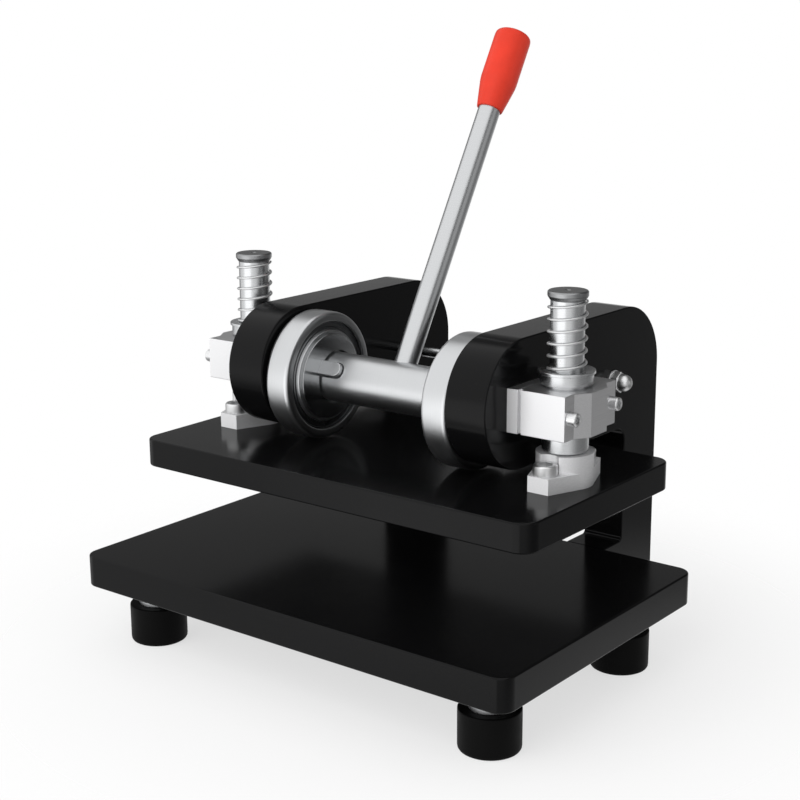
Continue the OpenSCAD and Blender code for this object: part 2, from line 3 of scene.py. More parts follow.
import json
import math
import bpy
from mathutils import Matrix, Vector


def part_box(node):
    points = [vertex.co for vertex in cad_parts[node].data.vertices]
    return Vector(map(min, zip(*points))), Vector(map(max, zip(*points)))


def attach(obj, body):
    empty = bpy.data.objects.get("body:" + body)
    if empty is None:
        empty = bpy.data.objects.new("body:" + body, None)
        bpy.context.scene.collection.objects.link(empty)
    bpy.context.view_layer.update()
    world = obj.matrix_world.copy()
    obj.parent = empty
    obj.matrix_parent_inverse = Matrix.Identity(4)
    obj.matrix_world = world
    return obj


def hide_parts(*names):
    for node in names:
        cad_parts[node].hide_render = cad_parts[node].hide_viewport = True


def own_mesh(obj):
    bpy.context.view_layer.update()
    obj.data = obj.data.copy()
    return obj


bl_info = {
    "name": "Die Cutting Press",
    "version": (1, 0, 0),
    "blender": (4, 5, 0),
    "location": "View3D > Sidebar > Die Press",
    "description": "Builds a hand-lever die cutting press, piece by piece, on its CAD frame",
    "category": "Object",
}

import bmesh
import bpy
from bpy.props import FloatProperty, FloatVectorProperty, IntProperty, PointerProperty
from mathutils import Matrix, Vector

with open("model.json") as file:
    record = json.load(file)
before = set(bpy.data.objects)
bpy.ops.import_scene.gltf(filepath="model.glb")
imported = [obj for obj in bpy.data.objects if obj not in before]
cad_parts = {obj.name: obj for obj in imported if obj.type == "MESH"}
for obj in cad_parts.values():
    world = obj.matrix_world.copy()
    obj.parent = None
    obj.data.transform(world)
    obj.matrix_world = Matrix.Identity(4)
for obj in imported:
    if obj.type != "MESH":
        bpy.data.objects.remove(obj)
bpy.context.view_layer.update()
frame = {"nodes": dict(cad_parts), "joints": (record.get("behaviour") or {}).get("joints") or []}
MM = 0.001
SIDES = {"left": -1, "right": 1}
ORIGIN = (0, 0, 0)
ALONG_X = (1, 0, 0)
ALONG_Y = (0, 1, 0)
ALONG_Z = (0, 0, 1)
# Edges that turn by more than this many degrees stay sharp
SHARP_ANGLE = 38.0


def middle(node):
    """The middle of a node's box."""
    low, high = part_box(node)
    return (low + high) / 2


def span(node, sign):
    """A node's inner and outer end along X, as if it were on the right side."""
    low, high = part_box(node)
    return (low.x, high.x) if sign > 0 else (-high.x, -low.x)


# Places that several pieces share, all taken from the frame
JOINTS = {joint["name"]: joint for joint in frame["joints"]}
SHAFT = Vector(JOINTS["lever_turn"]["pos_m"])
BEARING = {side: Vector(JOINTS[side + "_bearing_spin"]["pos_m"]) for side in SIDES}
POST = {side: middle("guide_post_" + side) for side in SIDES}


# Sizes and colours that a user would change


class PressSizes(bpy.types.PropertyGroup):
    plate_bevel: FloatProperty(
        name="Plate bevel", description="Rounding along the edges of the two plates",
        default=1.2 * MM, min=0.2 * MM, max=3 * MM, unit="LENGTH")
    arm_bevel: FloatProperty(
        name="Arm bevel", description="Rounding along the edges of the side arms",
        default=1.0 * MM, min=0.2 * MM, max=3 * MM, unit="LENGTH")
    block_bevel: FloatProperty(
        name="Block bevel", description="Rounding along the edges of the guide blocks",
        default=0.6 * MM, min=0.1 * MM, max=2 * MM, unit="LENGTH")
    spring_wire: FloatProperty(
        name="Spring wire", description="Wire diameter of the return springs",
        default=1.6 * MM, min=1 * MM, max=2 * MM, unit="LENGTH")
    spring_coils: FloatProperty(
        name="Spring coils", description="Coils in each return spring", default=5.5, min=4, max=10)
    turning_steps: IntProperty(
        name="Turning steps", description="Segments round each turned piece",
        default=112, min=32, max=192)


class PressFinishes(bpy.types.PropertyGroup):
    paint: FloatVectorProperty(
        name="Gloss paint", description="Colour of the plates and arms", subtype="COLOR",
        size=4, default=(0.0035, 0.0035, 0.0037, 1), min=0, max=1)
    steel: FloatVectorProperty(
        name="Bright steel", description="Colour of the shaft, posts and bearings", subtype="COLOR",
        size=4, default=(0.62, 0.63, 0.64, 1), min=0, max=1)
    aluminium: FloatVectorProperty(
        name="Milled aluminium", description="Colour of the guide blocks and post flanges",
        subtype="COLOR", size=4, default=(0.8, 0.8, 0.81, 1), min=0, max=1)
    zinc: FloatVectorProperty(
        name="Zinc plate", description="Colour of the bright screws and the return springs",
        subtype="COLOR", size=4, default=(0.8, 0.805, 0.81, 1), min=0, max=1)
    hub_steel: FloatVectorProperty(
        name="Polished steel", description="Colour of the eccentric hubs", subtype="COLOR",
        size=4, default=(0.62, 0.63, 0.64, 1), min=0, max=1)
    cap_steel: FloatVectorProperty(
        name="Cap steel", description="Colour of the post caps", subtype="COLOR",
        size=4, default=(0.34, 0.345, 0.35, 1), min=0, max=1)
    dark_steel: FloatVectorProperty(
        name="Dark steel", description="Colour of the bearing shields and hidden screws",
        subtype="COLOR", size=4, default=(0.2, 0.205, 0.21, 1), min=0, max=1)
    bronze: FloatVectorProperty(
        name="Bronze", description="Colour of the shaft bushes", subtype="COLOR",
        size=4, default=(0.55, 0.36, 0.17, 1), min=0, max=1)
    rubber: FloatVectorProperty(
        name="Rubber", description="Colour of the feet", subtype="COLOR",
        size=4, default=(0.0025, 0.0025, 0.0025, 1), min=0, max=1)
    grip: FloatVectorProperty(
        name="Grip", description="Colour of the handle grip", subtype="COLOR",
        size=4, default=(0.7, 0.042, 0.02, 1), min=0, max=1)


# Shader node groups and materials

GROUPS = {}
MATERIALS = {}


def add(tree, kind, inputs=None, **settings):
    """A new node with its settings, values and links."""
    made = tree.nodes.new(kind)
    for key, value in settings.items():
        setattr(made, key, value)
    for key, value in (inputs or {}).items():
        if isinstance(value, bpy.types.NodeSocket):
            tree.links.new(value, made.inputs[key])
        else:
            made.inputs[key].default_value = value
    return made


def calc(tree, operation, *values):
    """A Math node on numbers or sockets; returns its output."""
    return add(tree, "ShaderNodeMath", dict(enumerate(values)), operation=operation).outputs[0]


def vector_calc(tree, operation, *values):
    """A Vector Math node on vectors or sockets; returns the output that the operation fills."""
    made = add(tree, "ShaderNodeVectorMath", dict(enumerate(values)), operation=operation)
    return made.outputs["Value" if operation in ("DOT_PRODUCT", "LENGTH") else "Vector"]


def spread(tree, value, start, end, low, high, ease="LINEAR"):
    """Lays a value's range from start to end out from low to high; returns the output."""
    inputs = {"Value": value, "From Min": start, "From Max": end, "To Min": low, "To Max": high}
    return add(tree, "ShaderNodeMapRange", inputs, interpolation_type=ease).outputs["Result"]


def noise(tree, place, scale, detail=2.0, roughness=0.5):
    """A noise pattern on the given coordinates; returns its value."""
    inputs = {"Vector": place, "Scale": scale, "Detail": detail, "Roughness": roughness}
    return add(tree, "ShaderNodeTexNoise", inputs).outputs["Fac"]


def shader_group(name, inputs, outputs):
    """An empty shader group; returns (tree, its given values, its output node)."""
    tree = bpy.data.node_groups.new(name, "ShaderNodeTree")
    for label, default in inputs.items():
        kind = "NodeSocketFloat" if isinstance(default, float) else "NodeSocketVector"
        tree.interface.new_socket(label, in_out="INPUT", socket_type=kind).default_value = default
    for label in outputs:
        tree.interface.new_socket(label, in_out="OUTPUT", socket_type="NodeSocketFloat")
    return tree, tree.nodes.new("NodeGroupInput").outputs, tree.nodes.new("NodeGroupOutput")


def uneven_gloss_group():
    """Roughness that wanders a little, as handled and wiped surfaces do."""
    tree, given, out = shader_group(
        "uneven_gloss", {"Vector": ORIGIN, "Scale": 30.0, "Low": 0.2, "High": 0.3}, ("Roughness", "Mask"))
    cloud = noise(tree, given["Vector"], given["Scale"], 5.0, 0.6)
    roughness = spread(tree, cloud, 0.3, 0.7, given["Low"], given["High"])
    tree.links.new(roughness, out.inputs["Roughness"])
    tree.links.new(cloud, out.inputs["Mask"])
    return tree


def turned_marks_group():
    """Fine rings left by a lathe: they follow the distance along the axis and from it."""
    tree, given, out = shader_group(
        "turned_marks", {"Vector": ORIGIN, "Centre": ORIGIN, "Axis": ALONG_Z, "Lines": 2600.0}, ("Height",))
    offset = vector_calc(tree, "SUBTRACT", given["Vector"], given["Centre"])
    along = vector_calc(tree, "DOT_PRODUCT", offset, given["Axis"])
    radius = vector_calc(tree, "LENGTH", vector_calc(tree, "CROSS_PRODUCT", offset, given["Axis"]))
    count = calc(tree, "MULTIPLY", calc(tree, "ADD", along, radius), given["Lines"])
    lines = add(tree, "ShaderNodeTexNoise", {"W": count, "Scale": 1.0, "Detail": 3.0, "Roughness": 0.7},
                noise_dimensions="1D")
    tree.links.new(lines.outputs["Fac"], out.inputs["Height"])
    return tree


def mill_marks_group():
    """Straight fine streaks left by a milling cutter, drawn out along Y."""
    tree, given, out = shader_group("mill_marks", {"Vector": ORIGIN, "Fineness": 1500.0}, ("Height",))
    drawn_out = vector_calc(tree, "MULTIPLY", given["Vector"], (1.0, 0.03, 1.0))
    tree.links.new(noise(tree, drawn_out, given["Fineness"], 3.0, 0.6), out.inputs["Height"])
    return tree


def group_node(tree, maker, **inputs):
    """Places a shader group, which its maker builds once, with its own values; returns its outputs."""
    if maker not in GROUPS:
        GROUPS[maker] = maker()
    return add(tree, "ShaderNodeGroup", inputs, node_tree=GROUPS[maker]).outputs


def made_once(maker):
    """Makes a material at its first use and gives the same one for its name afterwards."""
    def named(name, *values, **options):
        if name not in MATERIALS:
            MATERIALS[name] = maker(name, *values, **options)
        return MATERIALS[name]
    return named


def start_material(name):
    """A material with its Principled shader; returns (material, tree, shader, Object coordinates)."""
    made = bpy.data.materials.new(name)
    made.use_nodes = True
    tree = made.node_tree
    shader = tree.nodes["Principled BSDF"]
    place = tree.nodes.new("ShaderNodeTexCoord").outputs["Object"]
    return made, tree, shader, place


def set_gloss(tree, shader, place, scale, low, high):
    """Gives the shader a roughness from low to high in soft clouds; returns the clouds."""
    gloss = group_node(tree, uneven_gloss_group, Vector=place, Scale=scale, Low=low, High=high)
    tree.links.new(gloss["Roughness"], shader.inputs["Roughness"])
    return gloss["Mask"]


def set_tint(tree, shader, colour, shade):
    """Gives the shader a colour that the shade darkens or lightens over the surface."""
    tint = add(tree, "ShaderNodeVectorMath", {0: tuple(colour)[:3], "Scale": shade}, operation="SCALE")
    tree.links.new(tint.outputs["Vector"], shader.inputs["Base Color"])


def set_bump(tree, shader, height, strength, distance):
    """Gives the shader a fine relief."""
    bump = add(tree, "ShaderNodeBump",
               {"Height": height, "Strength": strength, "Distance": distance})
    tree.links.new(bump.outputs["Normal"], shader.inputs["Normal"])


@made_once
def gloss_paint(name, colour):
    """Sprayed gloss black: a faint orange peel and slightly uneven gloss, with fine pale dust."""
    dust_colour = (0.03, 0.03, 0.031, 1)
    made, tree, shader, place = start_material(name)
    set_gloss(tree, shader, place, 14.0, 0.13, 0.2)
    specks = spread(tree, noise(tree, place, 900.0), 0.68, 0.82, 0.0, 0.25)
    dusted = add(tree, "ShaderNodeMix", {0: specks, 6: colour, 7: dust_colour}, data_type="RGBA")
    tree.links.new(dusted.outputs[2], shader.inputs["Base Color"])
    shader.inputs["Specular IOR Level"].default_value = 0.12
    set_bump(tree, shader, noise(tree, place, 260.0), 0.04, 0.4 * MM)
    return made


@made_once
def turned_metal(name, colour, centre, axis, low, high, lines=2600.0, depth=0.12, painted_end_shade=1.0):
    """Metal from a lathe, its fine rings centred on its axis, with painted shade that darkens the end faces
    to the given share.
    """
    made, tree, shader, place = start_material(name)
    set_gloss(tree, shader, place, 60.0, low, high)
    marks = group_node(tree, turned_marks_group, Vector=place, Centre=tuple(centre), Axis=tuple(axis),
                       Lines=lines)["Height"]
    # Painted shade: faces that look along the axis are darkened by their facing, not by any lamp.
    facing = vector_calc(tree, "DOT_PRODUCT", place.node.outputs["Normal"], tuple(axis))
    ends = spread(tree, calc(tree, "ABSOLUTE", facing), 0.7, 0.97, 1.0, painted_end_shade)
    tone = spread(tree, marks, 0.25, 0.75, 0.86, 1.0)
    set_tint(tree, shader, colour, calc(tree, "MULTIPLY", tone, ends))
    shader.inputs["Metallic"].default_value = 1.0
    set_bump(tree, shader, marks, depth, 0.05 * MM)
    return made


@made_once
def milled_metal(name, colour, low, high, metallic=1.0, front=None):
    """Milled metal with fine straight streaks; front is the metallic share of faces towards -Y, set lower
    so that those faces read as a brighter lit copy of the same metal: painted light.
    """
    made, tree, shader, place = start_material(name)
    set_gloss(tree, shader, place, 45.0, low, high)
    marks = group_node(tree, mill_marks_group, Vector=place, Fineness=1500.0)["Height"]
    set_tint(tree, shader, colour, spread(tree, marks, 0.25, 0.75, 0.9, 1.0))
    shader.inputs["Metallic"].default_value = metallic
    # Painted light: faces towards -Y turn less metallic, so the front lamp lights them brighter than the
    # rest of the same metal.
    if front is not None:
        facing = vector_calc(tree, "DOT_PRODUCT", place.node.outputs["Normal"], (0, -1, 0))
        share = spread(tree, facing, 0.86, 0.97, metallic, front)
        tree.links.new(share, shader.inputs["Metallic"])
    set_bump(tree, shader, marks, 0.1, 0.05 * MM)
    return made


@made_once
def moulded(name, colour, low, high, grain, depth, specular):
    """Moulded rubber or plastic: a fine even grain and slightly uneven gloss."""
    made, tree, shader, place = start_material(name)
    clouds = set_gloss(tree, shader, place, 50.0, low, high)
    set_tint(tree, shader, colour, spread(tree, clouds, 0.3, 0.7, 0.9, 1.06))
    shader.inputs["Specular IOR Level"].default_value = specular
    set_bump(tree, shader, noise(tree, place, grain, 3.0), depth, 0.3 * MM)
    return made


# Mesh shapes


def arc(centre, radius, start, end, steps):
    """Points along an arc, angles in degrees, both ends included."""
    points = []
    for i in range(steps + 1):
        a = math.radians(start + (end - start) * i / steps)
        points.append((centre[0] + radius * math.cos(a), centre[1] + radius * math.sin(a)))
    return points


def eased(points, ease, steps=4, closed=True):
    """The polyline with each corner rounded off; ease is one length or one per corner."""
    count = len(points)
    made = []
    for i, point in enumerate(points):
        reach = ease[i] if isinstance(ease, (list, tuple)) else ease
        if reach <= 0 or (not closed and i in (0, count - 1)):
            made.append(tuple(point))
            continue
        here = Vector(point)
        back = Vector(points[i - 1]) - here
        ahead = Vector(points[(i + 1) % count]) - here
        cut = min(reach, back.length * 0.48, ahead.length * 0.48)
        first = here + back.normalized() * cut
        last = here + ahead.normalized() * cut
        for k in range(steps + 1):
            t = k / steps
            spot = first * (1 - t) ** 2 + here * 2 * t * (1 - t) + last * t ** 2
            made.append((spot.x, spot.y))
    return made


def bar(radius, low, high, ease, top_ease=None):
    """Profile of a round bar from low to high, with both ends eased."""
    ends = [0, ease, ease if top_ease is None else top_ease, 0]
    return eased([(0, low), (radius, low), (radius, high), (0, high)], ends, closed=False)


def rounded_rectangle(low, high, radius, steps=14):
    """Anticlockwise outline of a rectangle with round corners."""
    corners = ((high[0] - radius, high[1] - radius, 0), (low[0] + radius, high[1] - radius, 90),
               (low[0] + radius, low[1] + radius, 180), (high[0] - radius, low[1] + radius, 270))
    points = []
    for x, y, start in corners:
        points.extend(arc((x, y), radius, start, start + 90, steps))
    return points


def shrunk(outline, inset):
    """A closed outline (anticlockwise) moved inwards by inset, corner by corner."""
    made = []
    count = len(outline)
    for i in range(count):
        a = Vector(outline[i - 1])
        b = Vector(outline[i])
        c = Vector(outline[(i + 1) % count])
        first = (b - a).normalized()
        second = (c - b).normalized()
        n1 = Vector((-first.y, first.x))
        n2 = Vector((-second.y, second.x))
        way = n1 + n2
        if way.length < 1e-9:
            way = n1
        way.normalize()
        reach = inset / max(0.5, way.dot(n1))
        spot = b + way * reach
        made.append((spot.x, spot.y))
    return made


def axis_frame(origin, direction, across=ALONG_X):
    """A matrix whose local Z runs along direction, with local X near across."""
    z = Vector(direction).normalized()
    x = Vector(across) - z * Vector(across).dot(z)
    x.normalize()
    y = z.cross(x)
    made = Matrix((x, y, z)).transposed().to_4x4()
    made.translation = Vector(origin)
    return made


def turn(bm, profile, place, steps=None):
    """Turns a profile of (radius, height) about place's local Z; it closes on itself or on the axis.

    A point may have two more numbers, which move its ring off the axis.
    """
    steps = steps or bpy.context.scene.press_sizes.turning_steps
    rings = []
    for radius, height, *shift in profile:
        off = Vector((*shift, 0)) if shift else Vector()
        if radius < 1e-7:
            rings.append([bm.verts.new(place @ (off + Vector((0, 0, height))))])
            continue
        ring = []
        for k in range(steps):
            a = 2 * math.pi * k / steps
            spot = off + Vector((radius * math.cos(a), radius * math.sin(a), height))
            ring.append(bm.verts.new(place @ spot))
        rings.append(ring)
    pairs = list(zip(rings, rings[1:]))
    if len(rings[0]) > 1 and len(rings[-1]) > 1:
        pairs.append((rings[-1], rings[0]))
    for low, high in pairs:
        for k in range(steps):
            n = (k + 1) % steps
            if len(low) == 1:
                bm.faces.new((low[0], high[n], high[k]))
            elif len(high) == 1:
                bm.faces.new((low[k], low[n], high[0]))
            else:
                bm.faces.new((low[k], low[n], high[n], high[k]))
    return bm


def skin(bm, rings):
    """Joins rings of equally many points into a closed shape with flat ends."""
    count = len(rings[0])
    for low, high in zip(rings, rings[1:]):
        for k in range(count):
            n = (k + 1) % count
            bm.faces.new((low[k], low[n], high[n], high[k]))
    bm.faces.new(list(reversed(rings[0])))
    bm.faces.new(rings[-1])
    return bm


def extrude(bm, outline, thickness, bevel, place, steps=4):
    """Pushes an anticlockwise outline along place's local Z, with both rims rounded by bevel."""
    levels = []
    for k in range(steps + 1):
        a = math.pi / 2 * k / steps
        levels.append((bevel * (1 - math.sin(a)), bevel * (1 - math.cos(a))))
    rims = levels + [(inset, thickness - rise) for inset, rise in reversed(levels)]
    rings = []
    for inset, height in rims:
        line = shrunk(outline, inset) if inset > 1e-9 else outline
        rings.append([bm.verts.new(place @ Vector((x, y, height))) for x, y in line])
    return skin(bm, rings)


def mirrored(bm, sign):
    """Mirrors a piece drawn at +X to the left side."""
    if sign < 0:
        bmesh.ops.transform(bm, matrix=Matrix.Diagonal((-1, 1, 1, 1)), verts=bm.verts)
        bmesh.ops.reverse_faces(bm, faces=bm.faces)
    return bm


def new_object(name, mesh):
    """An object for the mesh, in the scene and at the origin."""
    made = bpy.data.objects.new(name, mesh)
    bpy.context.scene.collection.objects.link(made)
    return made


def solid(name, bm, merge=True):
    """Makes a drawn shape an object, with its doubles merged and its faces outwards."""
    if merge:
        bmesh.ops.remove_doubles(bm, verts=bm.verts, dist=1e-7)
    bmesh.ops.recalc_face_normals(bm, faces=bm.faces)
    mesh = bpy.data.meshes.new(name)
    bm.to_mesh(mesh)
    bm.free()
    return new_object(name, mesh)


def plain_mesh(obj):
    """The object's evaluated mesh, with its modifiers used up."""
    bpy.context.view_layer.update()
    shown = obj.evaluated_get(bpy.context.evaluated_depsgraph_get())
    made = bpy.data.meshes.new_from_object(shown)
    obj.modifiers.clear()
    obj.data = made
    return obj


def smooth(obj, angle):
    """Smooth shading that keeps flat faces flat right up to their rounded edges."""
    obj.data.shade_smooth()
    obj.data.set_sharp_from_angle(angle=math.radians(angle))
    even = obj.modifiers.new("even_shading", "WEIGHTED_NORMAL")
    even.keep_sharp = True
    return plain_mesh(obj)


def cut_away(obj, shapes):
    """Cuts closed shapes out of an object."""
    for shape in shapes:
        tool = solid("cutter", shape)
        cut = obj.modifiers.new("cut", "BOOLEAN")
        cut.operation = "DIFFERENCE"
        cut.object = tool
        plain_mesh(obj)
        bpy.data.objects.remove(tool)


def hand_over(obj, body, node):
    """Ties a finished piece to its CAD body and hides the node it stands for."""
    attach(obj, body)
    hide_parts(node)


def piece(name, bm, material, body, node, angle=SHARP_ANGLE, cuts=()):
    """Makes a shape an object of the machine, less the cuts."""
    obj = solid(name, bm)
    obj.data.materials.append(material)
    cut_away(obj, cuts)
    smooth(obj, angle)
    hand_over(obj, body, node)


# The pieces


class PRESS_OT_plates(bpy.types.Operator):
    """Builds the base plate and the press plate"""
    bl_idname = "press.plates"
    bl_label = "Plates"

    base_corner = 11 * MM
    press_corner = 12 * MM

    def execute(self, context):
        bevel = context.scene.press_sizes.plate_bevel
        paint = gloss_paint("gloss_black_paint", context.scene.press_finishes.paint)
        plates = (("base_plate", "frame", self.base_corner), ("press_plate", "press", self.press_corner))
        for node, body, corner in plates:
            low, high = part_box(node)
            outline = rounded_rectangle(low, high, corner)
            bm = extrude(bmesh.new(), outline, high.z - low.z, bevel, Matrix.Translation((0, 0, low.z)))
            piece(node + "_body", bm, paint, body, node)
        return {"FINISHED"}


class PRESS_OT_arms(bpy.types.Operator):
    """Builds the two C-shaped side arms"""
    bl_idname = "press.arms"
    bl_label = "Side arms"

    nose_radius = 43 * MM
    nose_centre = -26.5 * MM
    back_radius = 46 * MM
    heel_radius = 12 * MM
    throat_radius = 10 * MM
    throat_foot_radius = 3 * MM
    column_depth = 45 * MM
    plate_gap = 0.3 * MM
    ledge_length = 135 * MM

    def outline(self, low, high):
        """Side view (Y, Z) of an arm, anticlockwise."""
        base_low, base_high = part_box("base_plate")
        plate_back = base_high.y + self.plate_gap
        ledge_front = base_high.y - self.ledge_length
        throat = high.y - self.column_depth
        leg_under = high.z - 2 * self.nose_radius
        points = [(ledge_front, base_low.z), (ledge_front, low.z)]
        points += arc((high.y - self.heel_radius, low.z + self.heel_radius), self.heel_radius, 270, 360, 10)
        points += arc((high.y - self.back_radius, high.z - self.back_radius), self.back_radius, 0, 90, 32)
        points += arc((self.nose_centre, high.z - self.nose_radius), self.nose_radius, 90, 270, 64)
        points += arc((throat - self.throat_radius, leg_under - self.throat_radius),
                      self.throat_radius, 90, 0, 10)
        points += arc((throat - self.throat_foot_radius, base_high.z + self.throat_foot_radius),
                      self.throat_foot_radius, 360, 270, 6)
        points += [(plate_back, base_high.z), (plate_back, base_low.z)]
        return points

    def execute(self, context):
        bevel = context.scene.press_sizes.arm_bevel
        paint = gloss_paint("gloss_black_paint", context.scene.press_finishes.paint)
        for side in SIDES:
            node = "arm_" + side
            low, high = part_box(node)
            place = Matrix(((0, 0, 1, low.x), (1, 0, 0, 0), (0, 1, 0, 0), (0, 0, 0, 1)))
            bm = extrude(bmesh.new(), self.outline(low, high), high.x - low.x, bevel, place)
            piece(node + "_body", bm, paint, "frame", node)
        return {"FINISHED"}


class PRESS_OT_feet(bpy.types.Operator):
    """Builds the rubber feet and their spacers"""
    bl_idname = "press.feet"
    bl_label = "Feet"

    # How far the real spacers reach below the solids' ones, which the plate's edge hides
    spacer_reach = 12 * MM
    spacer_radius = 13.5 * MM
    hole_radius = 4.03 * MM
    bore_radius = 7 * MM
    bore_depth = 22 * MM

    def execute(self, context):
        colours = context.scene.press_finishes
        rubber = moulded("black_rubber", colours.rubber, 0.45, 0.6, 1400.0, 0.15, 0.06)
        steel = turned_metal("spacer_steel", colours.steel, ORIGIN, ALONG_Z, 0.3, 0.4)
        spacer_low, spacer_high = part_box("foot_spacers")
        reach = spacer_high.z - spacer_low.z + self.spacer_reach
        spacers = bmesh.new()
        for node in ("foot_front_left", "foot_front_right", "foot_back_left", "foot_back_right"):
            low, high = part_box(node)
            spot = middle(node)
            r = (high.x - low.x) / 2
            h = high.z - low.z - self.spacer_reach
            profile = eased(
                [(0, self.bore_depth), (self.bore_radius, self.bore_depth), (self.bore_radius, 0), (r, 0),
                 (r, h), (self.hole_radius, h), (0, h)],
                [0, 0, 0.8 * MM, 3 * MM, 1.2 * MM, 0, 0], closed=False)
            bm = turn(bmesh.new(), profile, Matrix.Translation((spot.x, spot.y, low.z)))
            piece(node + "_body", bm, rubber, "frame", node)
            turn(spacers, bar(self.spacer_radius, 0, reach, 0.4 * MM),
                 Matrix.Translation((spot.x, spot.y, spacer_high.z - reach)))
        piece("foot_spacer_rings", spacers, steel, "frame", "foot_spacers")
        return {"FINISHED"}


class PRESS_OT_shaft(bpy.types.Operator):
    """Builds the drive shaft, its keys and the eccentric hubs"""
    bl_idname = "press.shaft"
    bl_label = "Drive shaft"

    key_half = 5 * MM
    key_seat = 12.5 * MM
    key_height = 8.3 * MM
    key_gap = 0.9 * MM
    bore_gap = 1.6 * MM
    hub_radius = 25 * MM
    collar_radius = 30 * MM
    collar_face = 28 * MM
    collar_width = 2 * MM

    def key_bar(self, side, sign, gap, height, bevel):
        """A round-ended key, made wider all round by the gap."""
        inner, outer = span("shaft_key_" + side, sign)
        out = middle("shaft_key_right") - SHAFT
        out.x = 0
        out.normalize()
        half = self.key_half + gap
        outline = arc((inner + self.key_half, 0), half, 90, 270, 18) + [(outer, -half), (outer, half)]
        along = Vector(ALONG_X)
        place = Matrix((along, along.cross(out), out)).transposed().to_4x4()
        place.translation = SHAFT + out * self.key_seat
        return mirrored(extrude(bmesh.new(), outline, height, bevel, place, 3), sign)

    def hub(self, side, sign, shaft_radius):
        """An eccentric hub: its bore is centred on the shaft and its outside on the bearing."""
        inner, outer = span("eccentric_" + side, sign)
        centre = BEARING["right"]
        shift = (SHAFT.y - centre.y, SHAFT.z - centre.z)
        bore = shaft_radius + self.bore_gap
        bore_floor = inner + 2 * self.bore_gap
        back = inner + self.collar_width
        profile = [(0, bore_floor, *shift), (bore, bore_floor, *shift), (bore, inner, *shift)]
        profile += eased(
            [(self.collar_face, inner), (self.collar_radius, inner), (self.collar_radius, back),
             (self.hub_radius, back), (self.hub_radius, outer), (0, outer)],
            [0, 0.5 * MM, 0, 0, 0.5 * MM, 0], closed=False)
        place = axis_frame((0, centre.y, centre.z), ALONG_X, ALONG_Y)
        return mirrored(turn(bmesh.new(), profile, place), sign)

    def execute(self, context):
        colours = context.scene.press_finishes
        low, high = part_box("drive_shaft")
        r = (high.z - low.z) / 2
        steel = turned_metal("shaft_steel", colours.steel, SHAFT, ALONG_X, 0.3, 0.38)
        slots = [self.key_bar(side, sign, self.key_gap, 2 * self.key_height, 0.05 * MM)
                 for side, sign in SIDES.items()]
        bm = turn(bmesh.new(), bar(r, low.x, high.x, 1.5 * MM), axis_frame(SHAFT, ALONG_X, ALONG_Y))
        piece("drive_shaft_bar", bm, steel, "lever", "drive_shaft", cuts=slots)
        key_steel = milled_metal("key_steel", colours.steel, 0.3, 0.4)
        for side, sign in SIDES.items():
            bm = self.key_bar(side, sign, 0, self.key_height, 0.5 * MM)
            piece("shaft_key_bar_" + side, bm, key_steel, "lever", "shaft_key_" + side)
            # The hub's end faces take painted shade.
            metal = turned_metal("hub_steel_" + side, colours.hub_steel, BEARING[side], ALONG_X,
                                 0.14, 0.2, lines=1800.0, depth=0.03, painted_end_shade=0.75)
            piece("eccentric_hub_" + side, self.hub(side, sign, r), metal, "lever",
                  "eccentric_" + side)
        return {"FINISHED"}


